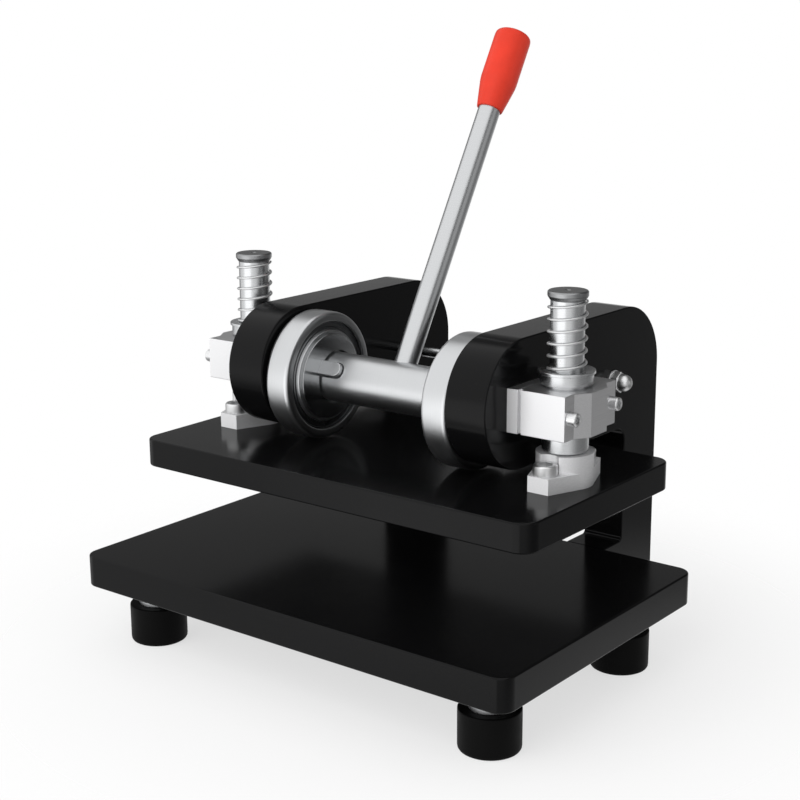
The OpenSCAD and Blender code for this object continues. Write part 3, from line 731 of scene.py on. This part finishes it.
class PRESS_OT_bearings(bpy.types.Operator):
    """Builds the ball bearings: rings and shields"""
    bl_idname = "press.bearings"
    bl_label = "Bearings"

    outer_steps = 160
    inner_steps = 128
    outer_radius = 45 * MM
    lip_radius = 38.4 * MM
    race_radius = 37.4 * MM
    rim_ease = 3.2 * MM
    lip_ease = 1.0 * MM
    shield_depth = 3.2 * MM
    bore_radius = 25.03 * MM
    bore_ease = 0.8 * MM
    inner_radius = 33 * MM
    chamfer_radius = 32 * MM
    chamfer_depth = 2.2 * MM
    chamfer_ease = 0.3 * MM
    # The inner ring's chamfer turns by less than other sharp edges
    chamfer_angle = 20.0
    # Section of a shield in mm: radius and depth below the bearing's face
    shield = ((33.06, 3.2), (38.3, 3.2), (38.3, 2), (37.4, 2), (36.9, 2.7), (34.6, 2.7), (34.1, 2),
              (33.06, 2))

    def outer_ring(self, half, place):
        """The outer ring, with a step at each side for its shield."""
        step = half - self.shield_depth
        profile = eased(
            [(self.lip_radius, -half), (self.outer_radius, -half), (self.outer_radius, half),
             (self.lip_radius, half), (self.lip_radius, step), (self.race_radius, step),
             (self.race_radius, -step), (self.lip_radius, -step)],
            [self.lip_ease, self.rim_ease, self.rim_ease, self.lip_ease, 0, 0, 0, 0])
        return turn(bmesh.new(), profile, place, self.outer_steps)

    def inner_ring(self, half, place):
        """The inner ring, with its outer edges chamfered."""
        slope = half - self.chamfer_depth
        profile = eased(
            [(self.bore_radius, -half), (self.chamfer_radius, -half), (self.inner_radius, -slope),
             (self.inner_radius, slope), (self.chamfer_radius, half), (self.bore_radius, half)],
            [self.bore_ease, self.chamfer_ease, 0, 0, self.chamfer_ease, self.bore_ease])
        return turn(bmesh.new(), profile, place, self.inner_steps)

    def shields(self, half, place):
        """A dished shield at each side of the bearing."""
        bm = bmesh.new()
        for face in (-1, 1):
            section = [(r * MM, face * (half - depth * MM)) for r, depth in self.shield]
            turn(bm, section, place, self.inner_steps)
        return bm

    def execute(self, context):
        colours = context.scene.press_finishes
        for side in SIDES:
            centre = BEARING[side]
            body = "bearing_" + side
            low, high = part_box("bearing_ring_" + side)
            half = (high.x - low.x) / 2
            place = axis_frame(centre, ALONG_X, ALONG_Y)
            # The rings' and shields' side faces take painted shade.
            outer = turned_metal("bearing_steel_" + side, colours.steel, centre, ALONG_X, 0.28, 0.36,
                                 lines=2200.0, painted_end_shade=0.5)
            inner = turned_metal("race_steel_" + side, colours.steel, centre, ALONG_X, 0.28, 0.36,
                                 painted_end_shade=0.65)
            shade = turned_metal("shield_steel_" + side, colours.dark_steel, centre, ALONG_X, 0.25, 0.35,
                                 lines=1500.0, painted_end_shade=0.6)
            piece("bearing_outer_" + side, self.outer_ring(half, place), outer, body,
                  "bearing_ring_" + side)
            piece("bearing_inner_" + side, self.inner_ring(half, place), inner, "lever",
                  "inner_ring_" + side, self.chamfer_angle)
            piece("bearing_shield_pair_" + side, self.shields(half, place), shade, body,
                  "bearing_shields_" + side)
        return {"FINISHED"}


class PRESS_OT_handle(bpy.types.Operator):
    """Builds the handle rod and its red grip"""
    bl_idname = "press.handle"
    bl_label = "Handle"

    lean = math.radians(30.5)
    rod_radius = 8 * MM
    rod_start = -4 * MM
    rod_end = 253 * MM
    # Section of the grip in mm: radius and height above its start, which is this far from the shaft
    grip_start = 211
    grip = ((0, 0), (9.1, 0), (9.5, 0.9), (11.3, 10.5), (12.9, 19.5), (13.2, 22.5), (13.2, 55.5),
            (12.9, 58), (11.2, 59.5), (8, 60), (0, 60))

    def execute(self, context):
        colours = context.scene.press_finishes
        direction = Vector((0, math.sin(self.lean), math.cos(self.lean)))
        place = axis_frame(SHAFT, direction)
        steel = turned_metal("rod_steel", colours.steel, SHAFT, direction, 0.28, 0.32, depth=0.03)
        bm = turn(bmesh.new(), bar(self.rod_radius, self.rod_start, self.rod_end, 1 * MM), place)
        piece("handle_rod_bar", bm, steel, "lever", "handle_rod")
        red = moulded("red_plastic", colours.grip, 0.34, 0.42, 700.0, 0.04, 0.2)
        profile = [(r * MM, (self.grip_start + h) * MM) for r, h in self.grip]
        bm = turn(bmesh.new(), eased(profile, 1.2 * MM, 3, closed=False), place)
        piece("handle_grip_body", bm, red, "lever", "handle_grip")
        return {"FINISHED"}


class PRESS_OT_guides(bpy.types.Operator):
    """Builds the guide blocks, bushes, posts, caps and post flanges"""
    bl_idname = "press.guides"
    bl_label = "Guides"

    ear_width = 11 * MM
    nose_half = 9.5 * MM
    groove_depth = 3 * MM
    groove_width = 2.6 * MM
    step_depth = 6.5 * MM
    # The block's slanted faces meet its sides at less than other sharp edges do
    block_angle = 31.5
    bush_bore = 11.05 * MM
    bush_radius = 15 * MM
    collar_radius = 17.25 * MM
    collar_lift = 1.4 * MM
    seat_radius = 18.5 * MM
    seat_height = 2 * MM
    post_radius = 11 * MM
    cap_taper = 1.6 * MM
    cap_taper_height = 2.6 * MM
    cap_rim = 0.8 * MM
    dimple_radius = 2.2 * MM
    dimple_depth = 1.8 * MM
    flange_bevel = 0.5 * MM

    def block_outlines(self):
        """Plans (X, Y) of the mounting plate and of the guide block on the right side."""
        y = POST["right"].y
        plate_low, plate_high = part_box("mount_plate_right")
        low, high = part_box("guide_block_right")
        half = (high.y - low.y) / 2
        ear = half - self.ear_width
        nose = self.nose_half
        groove = half - self.groove_depth
        face = plate_low.x
        seam = plate_high.x
        lip = seam + self.groove_width
        tip = high.x
        step = tip - self.step_depth
        plate = [(face, y - half), (seam, y - half), (seam, y + half), (face, y + half)]
        block = [(seam, y - groove), (lip, y - groove), (lip, y - half), (step, y - half), (step, y - ear),
                 (tip, y - nose), (tip, y + nose), (step, y + ear), (step, y + half), (lip, y + half),
                 (lip, y + groove), (seam, y + groove)]
        return plate, block

    def bush(self, side):
        """Profile of a guide bush with its collar and the spring's seat."""
        low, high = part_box("guide_bush_" + side)
        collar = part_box("guide_block_" + side)[1].z + self.collar_lift
        seat = high.z - self.seat_height
        return eased(
            [(self.bush_bore, low.z), (self.bush_radius, low.z), (self.bush_radius, collar),
             (self.collar_radius, collar), (self.collar_radius, seat), (self.seat_radius, seat),
             (self.seat_radius, high.z), (self.bush_bore, high.z)],
            [0, 0.6 * MM, 0, 0.3 * MM, 0, 0.4 * MM, 0.5 * MM, 0.3 * MM])

    def cap(self, side):
        """Profile of a post cap: tapered below, with a small dimple on top."""
        low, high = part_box("post_cap_" + side)
        r = (high.x - low.x) / 2
        return eased(
            [(0, low.z), (r - self.cap_taper, low.z), (r, low.z + self.cap_taper_height),
             (r, high.z - self.cap_rim), (r - self.cap_rim, high.z), (self.dimple_radius, high.z),
             (0, high.z - self.dimple_depth)],
            [0, 0.4 * MM, 0.4 * MM, 0.4 * MM, 0.4 * MM, 0.2 * MM, 0], closed=False)

    def flange(self, side):
        """A copy of the rhombic flange with its edges rounded."""
        bm = bmesh.new()
        bm.from_mesh(frame["nodes"]["post_flange_" + side].data)
        bmesh.ops.remove_doubles(bm, verts=bm.verts, dist=2e-6)
        bmesh.ops.dissolve_limit(bm, angle_limit=math.radians(1.0), verts=bm.verts, edges=bm.edges)
        edges = [e for e in bm.edges if len(e.link_faces) == 2
                 and e.calc_face_angle(0.0) > math.radians(35)]
        bmesh.ops.bevel(bm, geom=edges, offset=self.flange_bevel, segments=2, profile=0.5, affect="EDGES",
                        clamp_overlap=True)
        return bm

    def execute(self, context):
        bevel = context.scene.press_sizes.block_bevel
        colours = context.scene.press_finishes
        # Both alloys are less metallic on faces towards -Y: painted light on their front faces.
        alloy = milled_metal("milled_aluminium", colours.aluminium, 0.3, 0.38, front=0.2)
        blasted = milled_metal("blasted_aluminium", colours.aluminium, 0.5, 0.58, 0.65, front=0.0)
        plate, block = self.block_outlines()
        for side, sign in SIDES.items():
            low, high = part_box("guide_block_" + side)
            place = Matrix.Translation((0, 0, low.z))
            bm = mirrored(extrude(bmesh.new(), plate, high.z - low.z, bevel, place, 3), sign)
            piece("mount_plate_body_" + side, bm, alloy, "frame", "mount_plate_" + side)
            bm = mirrored(extrude(bmesh.new(), block, high.z - low.z, bevel, place, 3), sign)
            piece("guide_block_body_" + side, bm, alloy, "frame",
                  "guide_block_" + side, self.block_angle)
            axis = Matrix.Translation((POST[side].x, POST[side].y, 0))
            steel = turned_metal("post_steel_" + side, colours.steel, POST[side], ALONG_Z, 0.22, 0.3)
            piece("guide_bush_body_" + side, turn(bmesh.new(), self.bush(side), axis), steel, "frame",
                  "guide_bush_" + side)
            low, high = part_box("guide_post_" + side)
            post = bar(self.post_radius, low.z, high.z, 1 * MM, 0.2 * MM)
            piece("guide_post_bar_" + side, turn(bmesh.new(), post, axis), steel, "press",
                  "guide_post_" + side)
            # The cap's top takes painted shade.
            cap_steel = turned_metal("cap_steel_" + side, colours.cap_steel, POST[side], ALONG_Z, 0.3, 0.4,
                                     lines=1500.0, painted_end_shade=0.6)
            piece("post_cap_body_" + side, turn(bmesh.new(), self.cap(side), axis), cap_steel, "press",
                  "post_cap_" + side)
            piece("post_flange_" + side + "_body", self.flange(side), blasted, "press",
                  "post_flange_" + side)
        return {"FINISHED"}


def geometry_tree(name, inputs):
    """An empty Geometry Nodes tree; returns (tree, its given values, its output node)."""
    tree = bpy.data.node_groups.new(name, "GeometryNodeTree")
    tree.interface.new_socket("Geometry", in_out="INPUT", socket_type="NodeSocketGeometry")
    for label, kind, default in inputs:
        socket = tree.interface.new_socket(label, in_out="INPUT", socket_type=kind)
        if default is not None:
            socket.default_value = default
    tree.interface.new_socket("Geometry", in_out="OUTPUT", socket_type="NodeSocketGeometry")
    return tree, tree.nodes.new("NodeGroupInput").outputs, tree.nodes.new("NodeGroupOutput")


def finish_tree(tree, shape, material, out):
    """Ends a tree: its instances are made real and take the material."""
    real = add(tree, "GeometryNodeRealizeInstances", {"Geometry": shape})
    painted = add(tree, "GeometryNodeSetMaterial", {"Geometry": real.outputs[0], "Material": material})
    tree.links.new(painted.outputs[0], out.inputs[0])
    return tree


def set_input(modifier, label, value):
    """Sets a modifier's input by its socket's identifier."""
    for item in modifier.node_group.interface.items_tree:
        if item.item_type == "SOCKET" and item.in_out == "INPUT" and item.name == label:
            modifier[item.identifier] = value


def coil_tree():
    """A helical wire of even pitch, from a line of points bent by their index."""
    tree, given, out = geometry_tree(
        "wound_wire",
        [("Coils", "NodeSocketFloat", 5.5), ("Radius", "NodeSocketFloat", 12.2 * MM),
         ("Wire", "NodeSocketFloat", 1.6 * MM), ("Length", "NodeSocketFloat", 44.5 * MM),
         ("Start", "NodeSocketFloat", 0.0), ("Steps", "NodeSocketInt", 40),
         ("Material", "NodeSocketMaterial", None)])
    half_wire = calc(tree, "MULTIPLY", given["Wire"], 0.5)
    points = calc(tree, "MULTIPLY_ADD", given["Coils"], given["Steps"], 1.0)
    line = add(tree, "GeometryNodeMeshLine", {"Count": points})
    index = add(tree, "GeometryNodeInputIndex").outputs[0]
    turns = calc(tree, "DIVIDE", index, given["Steps"])
    angle = calc(tree, "MULTIPLY_ADD", turns, 2 * math.pi, given["Start"])
    across = calc(tree, "MULTIPLY", calc(tree, "COSINE", angle), given["Radius"])
    deep = calc(tree, "MULTIPLY", calc(tree, "SINE", angle), given["Radius"])
    climb = calc(tree, "SUBTRACT", given["Length"], given["Wire"])
    height = calc(tree, "MULTIPLY_ADD", calc(tree, "DIVIDE", turns, given["Coils"]), climb, half_wire)
    spot = add(tree, "ShaderNodeCombineXYZ", {"X": across, "Y": deep, "Z": height})
    moved = add(tree, "GeometryNodeSetPosition",
                {"Geometry": line.outputs["Mesh"], "Position": spot.outputs[0]})
    path = add(tree, "GeometryNodeMeshToCurve", {"Mesh": moved.outputs[0]})
    section = add(tree, "GeometryNodeCurvePrimitiveCircle", {"Resolution": 14, "Radius": half_wire})
    tube = add(tree, "GeometryNodeCurveToMesh",
               {"Curve": path.outputs[0], "Profile Curve": section.outputs["Curve"], "Fill Caps": True})
    return finish_tree(tree, tube.outputs[0], given["Material"], out)


def scatter_tree():
    """One template piece on every point, turned to each point's own direction."""
    tree, given, out = geometry_tree(
        "placed_fasteners",
        [("Template", "NodeSocketObject", None), ("Material", "NodeSocketMaterial", None)])
    template = add(tree, "GeometryNodeObjectInfo", {"Object": given["Template"]})
    direction = add(tree, "GeometryNodeInputNamedAttribute", {"Name": "direction"},
                    data_type="FLOAT_VECTOR")
    aligned = add(tree, "FunctionNodeAlignRotationToVector", {"Vector": direction.outputs["Attribute"]},
                  axis="Z")
    copies = add(tree, "GeometryNodeInstanceOnPoints",
                 {"Points": given["Geometry"], "Instance": template.outputs["Geometry"],
                  "Rotation": aligned.outputs["Rotation"]})
    return finish_tree(tree, copies.outputs[0], given["Material"], out)


class PRESS_OT_springs(bpy.types.Operator):
    """Winds the two return springs on their posts"""
    bl_idname = "press.springs"
    bl_label = "Return springs"

    wire_start = math.radians(218)

    def execute(self, context):
        sizes = context.scene.press_sizes
        colours = context.scene.press_finishes
        steel = turned_metal("spring_steel", colours.zinc, ORIGIN, ALONG_Z, 0.4, 0.5)
        tree = coil_tree()
        for side in SIDES:
            node = "return_spring_" + side
            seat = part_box("guide_bush_" + side)[1].z
            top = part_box("post_cap_" + side)[0].z
            low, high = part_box(node)
            obj = new_object("return_spring_coil_" + side, bpy.data.meshes.new(node + "_coil"))
            modifier = obj.modifiers.new("coil", "NODES")
            modifier.node_group = tree
            set_input(modifier, "Coils", sizes.spring_coils)
            set_input(modifier, "Wire", sizes.spring_wire)
            set_input(modifier, "Radius", (high.x - low.x - sizes.spring_wire) / 2)
            set_input(modifier, "Length", top - seat)
            set_input(modifier, "Start", self.wire_start)
            set_input(modifier, "Material", steel)
            plain_mesh(obj)
            obj.data.transform(Matrix.Translation((POST[side].x, POST[side].y, seat)))
            obj.data.shade_smooth()
            hand_over(obj, "frame", node)
            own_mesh(obj)
        return {"FINISHED"}


class PRESS_OT_fasteners(bpy.types.Operator):
    """Builds the tie rod and sets every screw and cap nut"""
    bl_idname = "press.fasteners"
    bl_label = "Fasteners"

    template_angle = 30.0
    template_steps = 48
    rod_steps = 64
    knurl = 0.02
    flange_head = 16 * MM
    flange_head_height = 7 * MM
    flange_shank = 10 * MM
    flange_length = 22.5 * MM
    block_head = 9 * MM
    block_head_height = 6.5 * MM
    block_shank = 5 * MM
    block_length = 54.5 * MM
    under_head = 13 * MM
    under_head_height = 8 * MM
    under_shank = 8 * MM
    # Where the middle screw under an arm is, as a share of the row
    arm_middle = 33 / 71
    washer_radius = 8 * MM
    washer_height = 1.2 * MM
    nut_half = 6.5 * MM
    nut_height = 5.3 * MM
    dome_radius = 6 * MM
    dome_foot = 6 * MM
    dome_rise = 8.5 * MM
    nut_face = 109 * MM

    def socket_screw(self, name, head, height, shank, length):
        """Template screw: knurled head with a hexagon socket, shank down along -Z from z = 0."""
        bm = bmesh.new()
        angles = [2 * math.pi * k / self.template_steps for k in range(self.template_steps)]
        socket = shank * 0.48
        depth = height * 0.5
        rings = []

        def ring(radius, z, knurl=0.0):
            """A round ring; a knurl pulls every other point in."""
            rings.append([])
            for k, a in enumerate(angles):
                r = radius * (1 - knurl * (k % 2))
                rings[-1].append(bm.verts.new((r * math.cos(a), r * math.sin(a), z)))

        def hexagon(radius, z):
            """A ring of as many points along a hexagon."""
            rings.append([])
            for a in angles:
                within = (a % (math.pi / 3)) - math.pi / 6
                r = radius * math.cos(math.pi / 6) / math.cos(within)
                rings[-1].append(bm.verts.new((r * math.cos(a), r * math.sin(a), z)))

        ring(shank / 2 - 0.4 * MM, -length)
        ring(shank / 2, -length + 0.6 * MM)
        ring(shank / 2, 0)
        ring(head / 2 - 0.3 * MM, 0)
        ring(head / 2, 0.3 * MM, self.knurl)
        ring(head / 2, height - 0.9 * MM, self.knurl)
        ring(head / 2 - 0.25 * MM, height - 0.5 * MM)
        ring(head / 2 - 0.8 * MM, height)
        ring(socket * 1.18, height)
        hexagon(socket * 1.08, height - 0.35 * MM)
        hexagon(socket * 1.08, height - depth)
        return smooth(solid(name, skin(bm, rings), merge=False), self.template_angle)

    def cap_nut(self, name):
        """Template cap nut on a washer: hexagon with a dome, standing on z = 0."""
        bm = bmesh.new()
        here = Matrix.Identity(4)
        turn(bm, bar(self.washer_radius, 0, self.washer_height, 0.3 * MM), here, self.template_steps)
        corner = self.nut_half / math.cos(math.pi / 6)
        angles = [math.pi / 3 * k for k in range(6)]
        outline = [(corner * math.cos(a), corner * math.sin(a)) for a in angles]
        on_washer = Matrix.Translation((0, 0, self.washer_height))
        extrude(bm, outline, self.nut_height, 0.5 * MM, on_washer, 3)
        dome = [(0, self.dome_foot), (self.dome_radius, self.dome_foot)]
        dome += arc((0, self.dome_rise), self.dome_radius, 0, 81, 9)
        dome.append((0, self.dome_rise + self.dome_radius))
        turn(bm, dome, here, self.template_steps)
        return smooth(solid(name, bm, merge=False), self.template_angle)

    def place_all(self, name, template, spots, material, body, slot, node):
        """Sets the template at every (point, direction) with the placing tree, and removes it."""
        mesh = bpy.data.meshes.new(name)
        mesh.from_pydata([tuple(point) for point, direction in spots], [], [])
        way = mesh.attributes.new("direction", "FLOAT_VECTOR", "POINT")
        for i, (point, direction) in enumerate(spots):
            way.data[i].vector = direction
        obj = new_object(name, mesh)
        modifier = obj.modifiers.new("fasteners", "NODES")
        modifier.node_group = self.tree
        set_input(modifier, "Template", template)
        set_input(modifier, "Material", material)
        plain_mesh(obj)
        bpy.data.objects.remove(template)
        hand_over(obj, body, node)

    def execute(self, context):
        colours = context.scene.press_finishes
        self.tree = scatter_tree()
        bright = milled_metal("screw_steel", colours.zinc, 0.3, 0.4)
        dark = milled_metal("black_screw_steel", colours.dark_steel, 0.3, 0.4)
        low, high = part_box("flange_screws")
        inset = self.flange_head / 2
        spots = [((sign * POST["right"].x, y, low.z + self.flange_length), ALONG_Z)
                 for sign in SIDES.values() for y in (low.y + inset, high.y - inset)]
        screw = self.socket_screw("flange_screw", self.flange_head, self.flange_head_height,
                                  self.flange_shank, self.flange_length)
        self.place_all("flange_screw_set", screw, spots, bright, "press", "bright_steel", "flange_screws")
        low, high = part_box("block_screws")
        inset = self.block_head / 2
        spots = [((sign * (high.x - self.block_head_height), y, (low.z + high.z) / 2), (sign, 0, 0))
                 for sign in SIDES.values() for y in (low.y + inset, high.y - inset)]
        screw = self.socket_screw("block_screw", self.block_head, self.block_head_height,
                                  self.block_shank, self.block_length)
        self.place_all("block_screw_set", screw, spots, bright, "frame", "bright_steel", "block_screws")
        inset = self.under_head / 2
        for node in ("foot_screws", "arm_screws"):
            low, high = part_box(node)
            rise = low.z + self.under_head_height
            xs = (low.x + inset, high.x - inset)
            ys = (low.y + inset, high.y - inset)
            if node == "arm_screws":
                ys = (ys[0], ys[0] + (ys[1] - ys[0]) * self.arm_middle, ys[1])
            spots = [((x, y, rise), (0, 0, -1)) for x in xs for y in ys]
            screw = self.socket_screw(node + "_template", self.under_head, self.under_head_height,
                                      self.under_shank, high.z - rise)
            self.place_all(node + "_set", screw, spots, dark, "frame", "dark_steel", node)
        low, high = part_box("tie_rod")
        centre = middle("tie_rod")
        steel = turned_metal("tie_steel", colours.steel, centre, ALONG_X, 0.2, 0.3)
        bm = turn(bmesh.new(), bar((high.z - low.z) / 2, low.x, high.x, 0.6 * MM),
                  axis_frame((0, centre.y, centre.z), ALONG_X, ALONG_Y), self.rod_steps)
        piece("tie_rod_bar", bm, steel, "frame", "tie_rod")
        spots = [((sign * self.nut_face, centre.y, centre.z), (sign, 0, 0)) for sign in SIDES.values()]
        self.place_all("tie_nut_set", self.cap_nut("cap_nut"), spots, bright, "frame", "bright_steel",
                       "tie_nuts")
        return {"FINISHED"}


class PRESS_OT_inner_pieces(bpy.types.Operator):
    """Gives the hidden bushes and bearing balls their metals"""
    bl_idname = "press.inner_pieces"
    bl_label = "Inner pieces"

    def execute(self, context):
        colours = context.scene.press_finishes
        bronze = turned_metal("bush_bronze", colours.bronze, SHAFT, ALONG_X, 0.3, 0.4)
        ball_steel = turned_metal("ball_steel", colours.steel, ORIGIN, ALONG_X, 0.06, 0.1, depth=0.0)
        for side in SIDES:
            for node, metal in (("shaft_bush_" + side, bronze), ("bearing_balls_" + side, ball_steel)):
                mesh = frame["nodes"][node].data
                mesh.materials.clear()
                mesh.materials.append(metal)
        return {"FINISHED"}


# The stage


def seen_rays(tree):
    """1 for rays that show the stage: from the camera, from a mirror and through glass."""
    paths = tree.nodes.new("ShaderNodeLightPath").outputs
    mirror = calc(tree, "MAXIMUM", paths["Is Glossy Ray"], paths["Is Transmission Ray"])
    return calc(tree, "MAXIMUM", paths["Is Camera Ray"], mirror)


class PRESS_OT_stage(bpy.types.Operator):
    """Sets the floor, the soft lights and the camera"""
    bl_idname = "press.stage"
    bl_label = "Stage"

    camera_place = (0.64089, -0.83657, 0.43703)
    yaw = 37.936
    pitch = 13.953
    roll = -0.314
    focal_pixels = 1561.73
    picture_pixels = 800
    sensor = 36.0
    floor_half = 6
    # The floor fades into the backdrop between these distances from the middle
    fade_start = 0.18
    fade_end = 0.42
    floor_white = 0.65
    soft_light = 0.75

    def camera(self, scene):
        """The camera, turned from its yaw, pitch and roll."""
        yaw, pitch, roll = (math.radians(a) for a in (self.yaw, self.pitch, self.roll))
        forward = Vector((-math.sin(yaw) * math.cos(pitch), math.cos(yaw) * math.cos(pitch),
                          -math.sin(pitch)))
        level = Vector((math.cos(yaw), math.sin(yaw), 0))
        above = level.cross(forward)
        right = level * math.cos(roll) + above * math.sin(roll)
        up = above * math.cos(roll) - level * math.sin(roll)
        data = bpy.data.cameras.new("studio_camera")
        data.sensor_width = self.sensor
        data.lens = self.focal_pixels / self.picture_pixels * self.sensor
        data.clip_end = 50
        camera = new_object("studio_camera", data)
        turned = Matrix((right, up, -forward)).transposed().to_4x4()
        turned.translation = Vector(self.camera_place)
        camera.matrix_world = turned
        scene.camera = camera

    def lamp(self, name, place, target, size, power):
        """A soft lamp that only lights, aimed at the target."""
        data = bpy.data.lights.new(name, "AREA")
        data.shape = "RECTANGLE"
        data.size, data.size_y = size
        data.energy = power
        lamp = new_object(name, data)
        lamp.location = place
        aim = Vector(target) - Vector(place)
        lamp.rotation_euler = aim.to_track_quat("-Z", "Y").to_euler()
        lamp.visible_camera = False
        lamp.visible_glossy = False

    def floor(self):
        """A pale floor for the soft shadow, which fades out around the machine."""
        bm = bmesh.new()
        bmesh.ops.create_grid(bm, x_segments=1, y_segments=1, size=self.floor_half)
        mesh = bpy.data.meshes.new("studio_floor")
        bm.to_mesh(mesh)
        bm.free()
        made, tree, shader, place = start_material("pale_floor")
        tone = spread(tree, noise(tree, place, 3.0), 0.0, 1.0, 0.86, 0.88)
        tree.links.new(tone, shader.inputs["Base Color"])
        shader.inputs["Roughness"].default_value = 0.9
        shader.inputs["Specular IOR Level"].default_value = 0.1
        away = vector_calc(tree, "LENGTH", place)
        fade = spread(tree, away, self.fade_start, self.fade_end, 0.0, 1.0, "SMOOTHSTEP")
        white = add(tree, "ShaderNodeEmission", {"Strength": 1.0})
        share = calc(tree, "MULTIPLY", seen_rays(tree), self.floor_white)
        pale = add(tree, "ShaderNodeMixShader",
                   {"Fac": share, 1: shader.outputs[0], 2: white.outputs[0]})
        clear = tree.nodes.new("ShaderNodeBsdfTransparent")
        mixed = add(tree, "ShaderNodeMixShader", {"Fac": fade, 1: pale.outputs[0], 2: clear.outputs[0]})
        tree.links.new(mixed.outputs[0], tree.nodes["Material Output"].inputs["Surface"])
        mesh.materials.append(made)
        floor = new_object("studio_floor", mesh)

    def world(self, scene):
        """White to the camera, a studio in reflections, and even light on everything else."""
        world = bpy.data.worlds.new("studio_world")
        scene.world = world
        world.use_nodes = True
        tree = world.node_tree
        tree.nodes.clear()
        direction = tree.nodes.new("ShaderNodeTexCoord").outputs["Generated"]
        split = add(tree, "ShaderNodeSeparateXYZ", {"Vector": direction})
        height = spread(tree, split.outputs["Z"], -1.0, 1.0, 0.0, 1.0)
        ramp = add(tree, "ShaderNodeValToRGB", {"Fac": height})
        stops = ramp.color_ramp.elements
        stops[0].position, stops[0].color = 0.25, (0.25, 0.25, 0.252, 1)
        stops[1].position, stops[1].color = 1.0, (0.3, 0.3, 0.303, 1)
        for position, grey in ((0.33, 0.9), (0.4, 1.0), (0.51, 1.0), (0.54, 0.5), (0.58, 0.31),
                               (0.65, 0.24), (0.75, 0.14), (0.9, 0.2)):
            stop = stops.new(position)
            stop.color = (grey, grey, grey * 1.01, 1)

        def towards(way, start, end, low, high):
            """A value that goes from low to high as the direction nears the given way."""
            near = vector_calc(tree, "DOT_PRODUCT", direction, way)
            return spread(tree, near, start, end, low, high, "SMOOTHSTEP")

        dim_right = towards((0.82, 0.57, 0), 0.1, 1.0, 1.0, 0.22)
        dim_left = towards((-0.8, 0.45, -0.4), 0.78, 0.92, 1.0, 0.3)
        soft_box = towards((-0.18, -0.68, 0.71), 0.25, 0.45, 0.0, 1.2)
        low_box = towards((-0.2, -0.95, -0.24), 0.83, 0.9, 0.0, 1.75)
        strip = towards((0.94, 0.3, 0.17), 0.9, 0.98, 0.0, 0.5)
        boxes = calc(tree, "MAXIMUM", calc(tree, "MAXIMUM", soft_box, low_box), strip)
        walls = calc(tree, "MULTIPLY", calc(tree, "MULTIPLY", ramp.outputs["Color"], dim_right), dim_left)
        around = calc(tree, "MAXIMUM", walls, boxes)
        paths = tree.nodes.new("ShaderNodeLightPath")
        shown = calc(tree, "MAXIMUM", around, paths.outputs["Is Camera Ray"])
        room = add(tree, "ShaderNodeBackground", {"Color": (1, 1, 1, 1), "Strength": shown})
        light = add(tree, "ShaderNodeBackground", {"Color": (1, 1, 1, 1), "Strength": self.soft_light})
        mixed = add(tree, "ShaderNodeMixShader",
                    {"Fac": seen_rays(tree), 1: light.outputs[0], 2: room.outputs[0]})
        out = tree.nodes.new("ShaderNodeOutputWorld")
        tree.links.new(mixed.outputs[0], out.inputs["Surface"])

    def execute(self, context):
        scene = context.scene
        scene.view_settings.view_transform = "Standard"
        self.camera(scene)
        self.floor()
        self.world(scene)
        self.lamp("key_light", place=(-0.2, -1.7, 1.15), target=(0, 0, 0.2), size=(2.4, 2.0), power=30)
        return {"FINISHED"}


class PRESS_PT_panel(bpy.types.Panel):
    """Lists the press's sizes, finishes and build steps"""
    bl_idname = "PRESS_PT_panel"
    bl_label = "Die Press"
    bl_space_type = "VIEW_3D"
    bl_region_type = "UI"
    bl_category = "Die Press"

    def draw(self, context):
        for group in (context.scene.press_sizes, context.scene.press_finishes):
            for label in group.bl_rna.properties.keys():
                if label not in ("rna_type", "name"):
                    self.layout.prop(group, label)
        for step in STEPS:
            self.layout.operator(step.bl_idname)


STEPS = (PRESS_OT_stage, PRESS_OT_plates, PRESS_OT_arms, PRESS_OT_feet, PRESS_OT_shaft, PRESS_OT_bearings,
         PRESS_OT_handle, PRESS_OT_guides, PRESS_OT_springs, PRESS_OT_fasteners, PRESS_OT_inner_pieces)
CLASSES = (PressSizes, PressFinishes) + STEPS + (PRESS_PT_panel,)


def register():
    for made in CLASSES:
        bpy.utils.register_class(made)
    bpy.types.Scene.press_sizes = PointerProperty(type=PressSizes)
    bpy.types.Scene.press_finishes = PointerProperty(type=PressFinishes)


def unregister():
    del bpy.types.Scene.press_finishes
    del bpy.types.Scene.press_sizes
    for made in reversed(CLASSES):
        bpy.utils.unregister_class(made)


def main():
    register()
    bpy.ops.press.stage()
    bpy.ops.press.plates()
    bpy.ops.press.arms()
    bpy.ops.press.feet()
    bpy.ops.press.shaft()
    bpy.ops.press.bearings()
    bpy.ops.press.handle()
    bpy.ops.press.guides()
    bpy.ops.press.springs()
    bpy.ops.press.fasteners()
    bpy.ops.press.inner_pieces()


if __name__ == "__main__":
    main()
